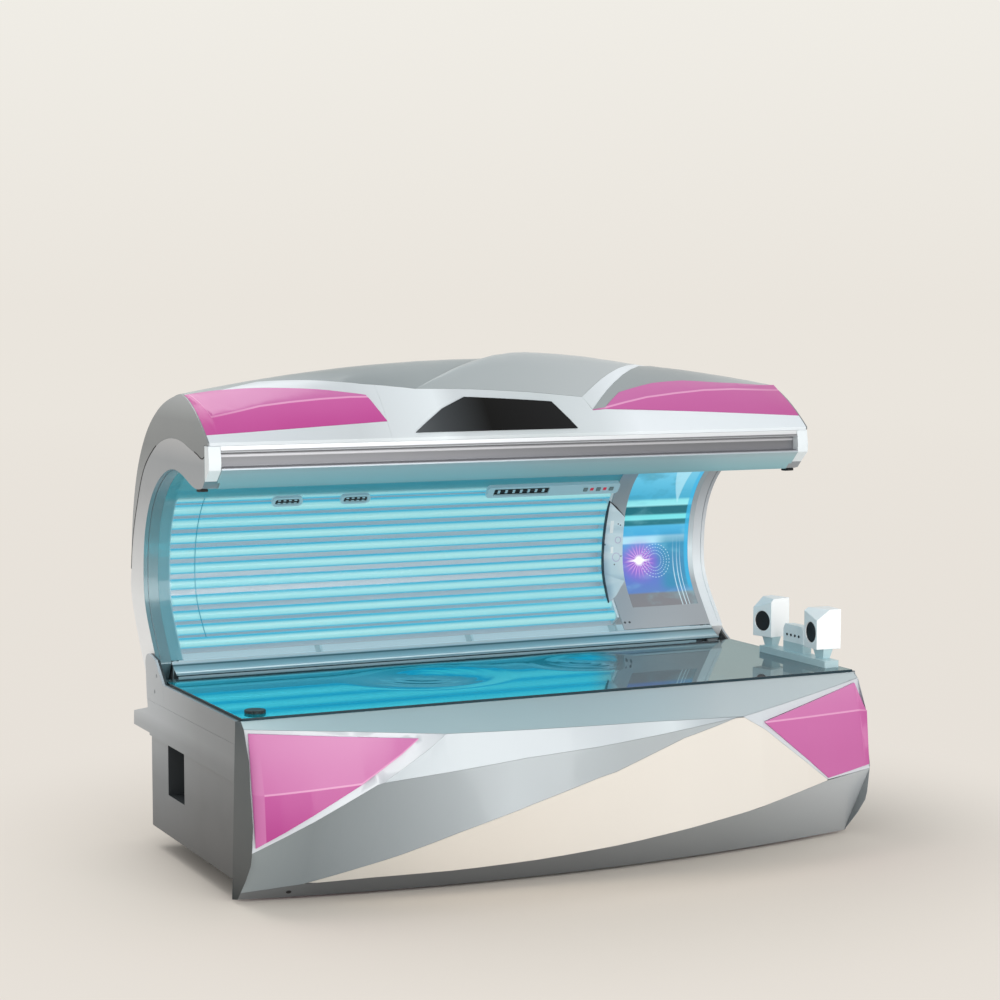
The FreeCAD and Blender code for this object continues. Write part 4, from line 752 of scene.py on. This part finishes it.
# finish, width of the softened edges, then for some the merging and the smoothing angle
dressing = {
    "side_panels": ("sideGrey", 0.0015), "front_corner_trims": ("cornerGrey", 0.0015),
    "rear_panels": ("rearGrey", 0.001),
    "front_apron": ("apronSilver", 0.0008), "front_white_facet": ("facetWhite", 0.0008),
    "front_grey_facet": ("facetGrey", 0.0008),
    "front_pale_facet": ("facetCream", 0.0008), "front_lower_panel": ("facetLower", 0.0008),
    "front_lens_frames": ("lensFrame", 0.0008),
    "front_lenses": ("basePink", 0.0012, 0.05, 8), "speaker_tray": ("trayGrey", 0.0012),
    "lock_knob": ("blackMoulded", 0.001), "canopy_end_rings": ("ringSilver", 0.002),
    "canopy_cheeks": ("cheekGrey", 0.001),
    "canopy_top_shells": ("shellSilver", 0.0008), "canopy_rear_shell": ("rearGrey", 0.0008),
    "canopy_hood": ("hoodSilver", 0.0008),
    "canopy_brow": ("fasciaWhite", 0.0008), "canopy_lenses": ("canopyPink", 0.001, 0.05, 8),
    "display_glass": ("darkGlass", 0.0006),
    "lip_extrusion": ("lipMetal", 0.0012), "lip_end_caps": ("whiteMoulded", 0.002),
    "lip_bumpers": ("blackRubber", 0.0015),
    "lower_rails": ("railMetal", 0.0008), "control_panel": ("panelPrint", 0.0015),
    "nozzle_bezels": ("bezelGrey", 0.001), "vent_louvre": ("blackMoulded", 0.0004),
    "nozzle_left": ("blackMoulded", 0.0004), "nozzle_right": ("blackMoulded", 0.0004),
    "key_start": ("keyGrey", 0.001),
    "key_cooling": ("keyGrey", 0.001), "key_stop": ("keyGrey", 0.001), "canopy_lamps": ("canopyLamp", 0.0),
    "bench_lamps": ("benchLamp", 0.0), "canopy_acrylic": ("tunnelSheet", 0.0),
    "face_glass": ("faceLight", 0.0), "canopy_reflector": ("mirrorMetal", 0.0),
    "bench_reflector": ("bedMetal", 0.0006),
    "canopy_lampholders": ("whiteMoulded", 0.0005), "bench_lampholders": ("whiteMoulded", 0.0005),
    "cable_gland": ("blackMoulded", 0.0006),
    "levelling_feet": ("blackRubber", 0.001),
}
kept = {"base_frame": "frameSteel", "ballasts": "blackMoulded", "electrical_box": "greyMoulded",
        "fan_housing": "blackMoulded", "fan_rotor": "blackMoulded", "hinge_posts": "frameSteel",
        "pivot_pins": "polishedSteel", "canopy_frame": "frameLight", "left_spring_cylinder": "blackMoulded",
        "right_spring_cylinder": "blackMoulded", "left_spring_rod": "polishedSteel",
        "right_spring_rod": "polishedSteel"}
for node, values in dressing.items():
    dress(node, *values)
for node, finish in kept.items():
    setMaterial(cadNodes[node], finishes[finish])
for node in ("speaker_rear", "speaker_front"):
    dressParts(node, 0.002, "speakerWhite", "coneBlack", lambda number, part: number == 0)
for node, width, large, small in (("tower_covers", 0.0012, "sideGrey", "greyMoulded"),
    ("face_frame", 0.0008, "frameSilver", "frameSteel"),
                                  ("vent_bar", 0.001, "bezelGrey", "redLight")):
    dressParts(node, width, large, small, lambda number, part: part.dimensions.length > 0.1)
print("stage: panels dressed")


# the faces it keeps lie below top, hardly turned to the ends, and look down or to the front
joint = {"width": 0.0034, "proud": 0.0008, "top": 1.40, "endward": 0.3, "downward": -0.05, "frontward": -0.6}


def makeCheekJoints():
    # a black strip between each cheek and the end ring below it, standing in for the shade in the gap there:
    # painted shade
    for number, part in enumerate(splitLoose(copyNode("canopy_cheeks", 0.05))):
        side = 1 if part.bound_box[0][0] > 0 else -1
        for face in part.data.polygons:
            turn = face.normal
            below = turn.z < joint["downward"] or turn.y < joint["frontward"]
            face.select = below and abs(turn.x) < joint["endward"] and face.center.z < joint["top"]
        pick(part)
        bpy.ops.object.mode_set(mode="EDIT")
        bpy.ops.mesh.select_mode(type="FACE")
        bpy.ops.mesh.select_all(action="INVERT")
        bpy.ops.mesh.delete(type="FACE")
        editOff()
        if not part.data.polygons:
            bpy.data.objects.remove(part)
            continue
        applyModifier(part, "SOLIDIFY", thickness=joint["width"], offset=-1.0)
        part.location.x = side * joint["proud"]
        settle(part, "cheekJoint%d" % (number + 1), "blackRubber", "canopy")


makeCheekJoints()


def dressBenchSheet():
    # the cut edges of the lying sheet are darker than its face
    piece = copyNode("bench_acrylic")
    soften(piece, 0.0008)
    editOn(piece, "DESELECT")
    bpy.ops.mesh.select_mode(type="FACE")
    editOff()
    for face in piece.data.polygons:
        face.select = abs(face.normal.z) < 0.5
    pick(piece)
    bpy.ops.object.mode_set(mode="EDIT")
    bpy.ops.mesh.separate(type="SELECTED")
    editOff()
    edge = [item for item in bpy.context.selected_objects if item is not piece][0]
    deselectAll()
    for part, name, finish in ((piece, "lyingSheet", "benchSheet"), (edge, "lyingSheetEdge", "sheetEdge")):
        settle(part, name, finish, "bench_sheet")
        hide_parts("bench_acrylic")


dressBenchSheet()

# ---- small parts that stand on the tunnel wall
tunnelWall = {"axisY": 0.10, "axisZ": 0.93, "inward": 0.8, "rearOfY": 0.39}


def traceWall():
    # the tunnel sheet's inner face at its foot end, from its lower edge up: distance, y, z, outward y and z
    points = cadNodes["canopy_acrylic"].data.vertices
    foot = min(point.co.x for point in points)
    inner = set()
    for face in cadNodes["canopy_acrylic"].data.polygons:
        inward = Vector((0, tunnelWall["axisY"] - face.center.y,
            tunnelWall["axisZ"] - face.center.z)).normalized()
        if face.normal.dot(inward) > tunnelWall["inward"]:
            inner.update(face.vertices)
    rows = sorted({(round(points[i].co.z, 5), round(points[i].co.y, 5)) for i in inner
                   if points[i].co.x < foot + 0.001 and points[i].co.y > tunnelWall["rearOfY"]})
    rows = [Vector((y, z)) for z, y in rows]
    travelled, spots = 0.0, []
    for before, here, after in zip(rows[:1] + rows, rows, rows[1:] + rows[-1:]):
        travelled += (here - before).length
        along = (after - before).normalized()
        spots.append((travelled, here.x, here.y, along.y, -along.x))
    return spots


wallSpots = traceWall()


def wallSpot(distance):
    # y, z and outward direction at a distance along the wall from the sheet's lower edge
    low, high = next(pair for pair in zip(wallSpots, wallSpots[1:]) if pair[1][0] >= distance)
    share = (distance - low[0]) / (high[0] - low[0])
    return [a + (b - a) * share for a, b in zip(low[1:], high[1:])]


def putOnWall(piece, x, distance, lift):
    y, z, outY, outZ = wallSpot(distance)
    piece.location = (x, y - outY * lift, z - outZ * lift)
    piece.rotation_euler = (math.atan2(outY, -outZ), 0, 0)


def shapeSlab(width, height, thick, edge):
    # a flat block that stands on its own lower face
    deselectAll()
    bpy.ops.mesh.primitive_plane_add(size=1.0)
    piece = bpy.context.object
    editOn(piece)
    bpy.ops.transform.resize(value=(width, height, 1))
    bpy.ops.mesh.extrude_region_move(TRANSFORM_OT_translate={"value": (0, 0, thick)})
    bpy.ops.mesh.select_all(action="SELECT")
    bpy.ops.mesh.normals_make_consistent(inside=False)
    bpy.ops.mesh.bevel(offset=edge, segments=2, affect="EDGES")
    editOff()
    smoothByAngle(piece, 40)
    return piece


def twinOf(piece):
    twin = piece.copy()
    twin.data = piece.data.copy()
    bpy.context.scene.collection.objects.link(twin)
    return twin


# each key: x, distance up the wall, width, height
panelKeys = {"places": ((0.7150, 0.4250, 0.0150, 0.0500), (0.7205, 0.3330, 0.0120, 0.0250)), "lift": 0.0104,
    "thick": 0.0014,
             "edge": 0.0005}


def makePanelKeys():
    for number, (x, distance, width, height) in enumerate(panelKeys["places"]):
        key = shapeSlab(width, height, panelKeys["thick"], panelKeys["edge"])
        putOnWall(key, x, distance, panelKeys["lift"])
        settle(key, "panelKey%d" % (number + 1), "keyWhite", "canopy")


slats = {"width": 0.0105, "height": 0.0158, "thick": 0.0056, "edge": 0.0012,
         "nozzleAt": 0.598, "nozzleX": (-0.6295, -0.3690), "nozzleStep": 0.0205, "nozzleCount": 4,
         "nozzleLift": 0.0062, "louvreAt": 0.608, "louvreX": (0.200, 0.384), "louvreCount": 7,
         "louvreLift": 0.0083}


def makeSlats():
    # upright slats on the swinging vanes
    first = shapeSlab(slats["width"], slats["height"], slats["thick"], slats["edge"])
    made = 0
    for name, middle in zip(("nozzle_left", "nozzle_right"), slats["nozzleX"]):
        for place in range(slats["nozzleCount"]):
            slat = twinOf(first)
            x = middle + (place - (slats["nozzleCount"] - 1) / 2) * slats["nozzleStep"]
            putOnWall(slat, x, slats["nozzleAt"], slats["nozzleLift"])
            made += 1
            settle(slat, "nozzleSlat%d" % made, "bezelGrey", name + "_body")
    start, stop = slats["louvreX"]
    for place in range(slats["louvreCount"]):
        slat = twinOf(first)
        putOnWall(slat, start + (stop - start) * place / (slats["louvreCount"] - 1), slats["louvreAt"],
                  slats["louvreLift"])
        settle(slat, "louvreSlat%d" % (place + 1), "bezelGrey", "louvre")
    bpy.data.objects.remove(first)


seam = {"x": -0.938, "start": 0.084, "stop": 0.636, "width": 0.0030, "thick": 0.0008, "steps": 28,
    "bow": 0.010, "lift": 0.0002}


def makeSheetSeam():
    # a dark joint line that runs up the clear sheet near the foot end
    deselectAll()
    bpy.ops.mesh.primitive_grid_add(x_subdivisions=1, y_subdivisions=seam["steps"], size=1.0)
    piece = bpy.context.object
    for point in piece.data.vertices:
        share = point.co.y + 0.5
        y, z, outY, outZ = wallSpot(seam["start"] + (seam["stop"] - seam["start"]) * share)
        bow = seam["bow"] * math.sin(math.pi * share)
        point.co = (seam["x"] - bow + point.co.x * seam["width"], y - outY * seam["lift"],
            z - outZ * seam["lift"])
    editOn(piece)
    bpy.ops.mesh.normals_make_consistent(inside=False)
    editOff()
    applyModifier(piece, "SOLIDIFY", thickness=seam["thick"], offset=1.0)
    smoothByAngle(piece, 50)
    settle(piece, "sheetSeam", "seamTeal", "canopy")


def shapeDisc(values):
    # a low round plug with a sunk middle, which stands on its own lower face
    deselectAll()
    bpy.ops.mesh.primitive_circle_add(vertices=values["sides"], radius=values["radius"], fill_type="NGON")
    piece = bpy.context.object
    editOn(piece)
    bpy.ops.mesh.extrude_region_move(TRANSFORM_OT_translate={"value": (0, 0, values["depth"])})
    bpy.ops.mesh.inset(thickness=values["rim"])
    bpy.ops.transform.translate(value=(0, 0, -values["depth"] * values["sink"]))
    bpy.ops.mesh.select_all(action="SELECT")
    bpy.ops.mesh.normals_make_consistent(inside=False)
    editOff()
    smoothByAngle(piece, 35)
    return piece


plug = {"place": (-0.9889, -0.4889, 0.0318), "facing": (-0.139, -0.687, -0.713), "sides": 28,
    "radius": 0.0085, "depth": 0.0008,
        "rim": 0.0014, "sink": 0.6}


def makeFloorPlug():
    # a small dark plug in the lower front panel
    piece = shapeDisc(plug)
    piece.location = plug["place"]
    piece.rotation_euler = Vector(plug["facing"]).to_track_quat("Z", "Y").to_euler()
    settle(piece, "lowerPanelPlug", "blackRubber", "base")


sockets = {"face": 1.0865, "rows": (-0.2090, -0.1830, -0.1570, -0.1310), "height": 0.680, "sides": 24,
    "radius": 0.0047,
           "depth": 0.003, "rim": 0.0012, "sink": 0.5}


def makeSockets():
    # dark sound sockets in the face of the console between the speakers
    for number, along in enumerate(sockets["rows"]):
        piece = shapeDisc(sockets)
        piece.location = (sockets["face"], along, sockets["height"])
        piece.rotation_euler = (0, -math.pi / 2, 0)
        settle(piece, "traySocket%d" % (number + 1), "blackRubber", "bench_sheet")


makePanelKeys()
makeSlats()
makeSockets()
makeSheetSeam()
makeFloorPlug()
print("stage: small parts made")
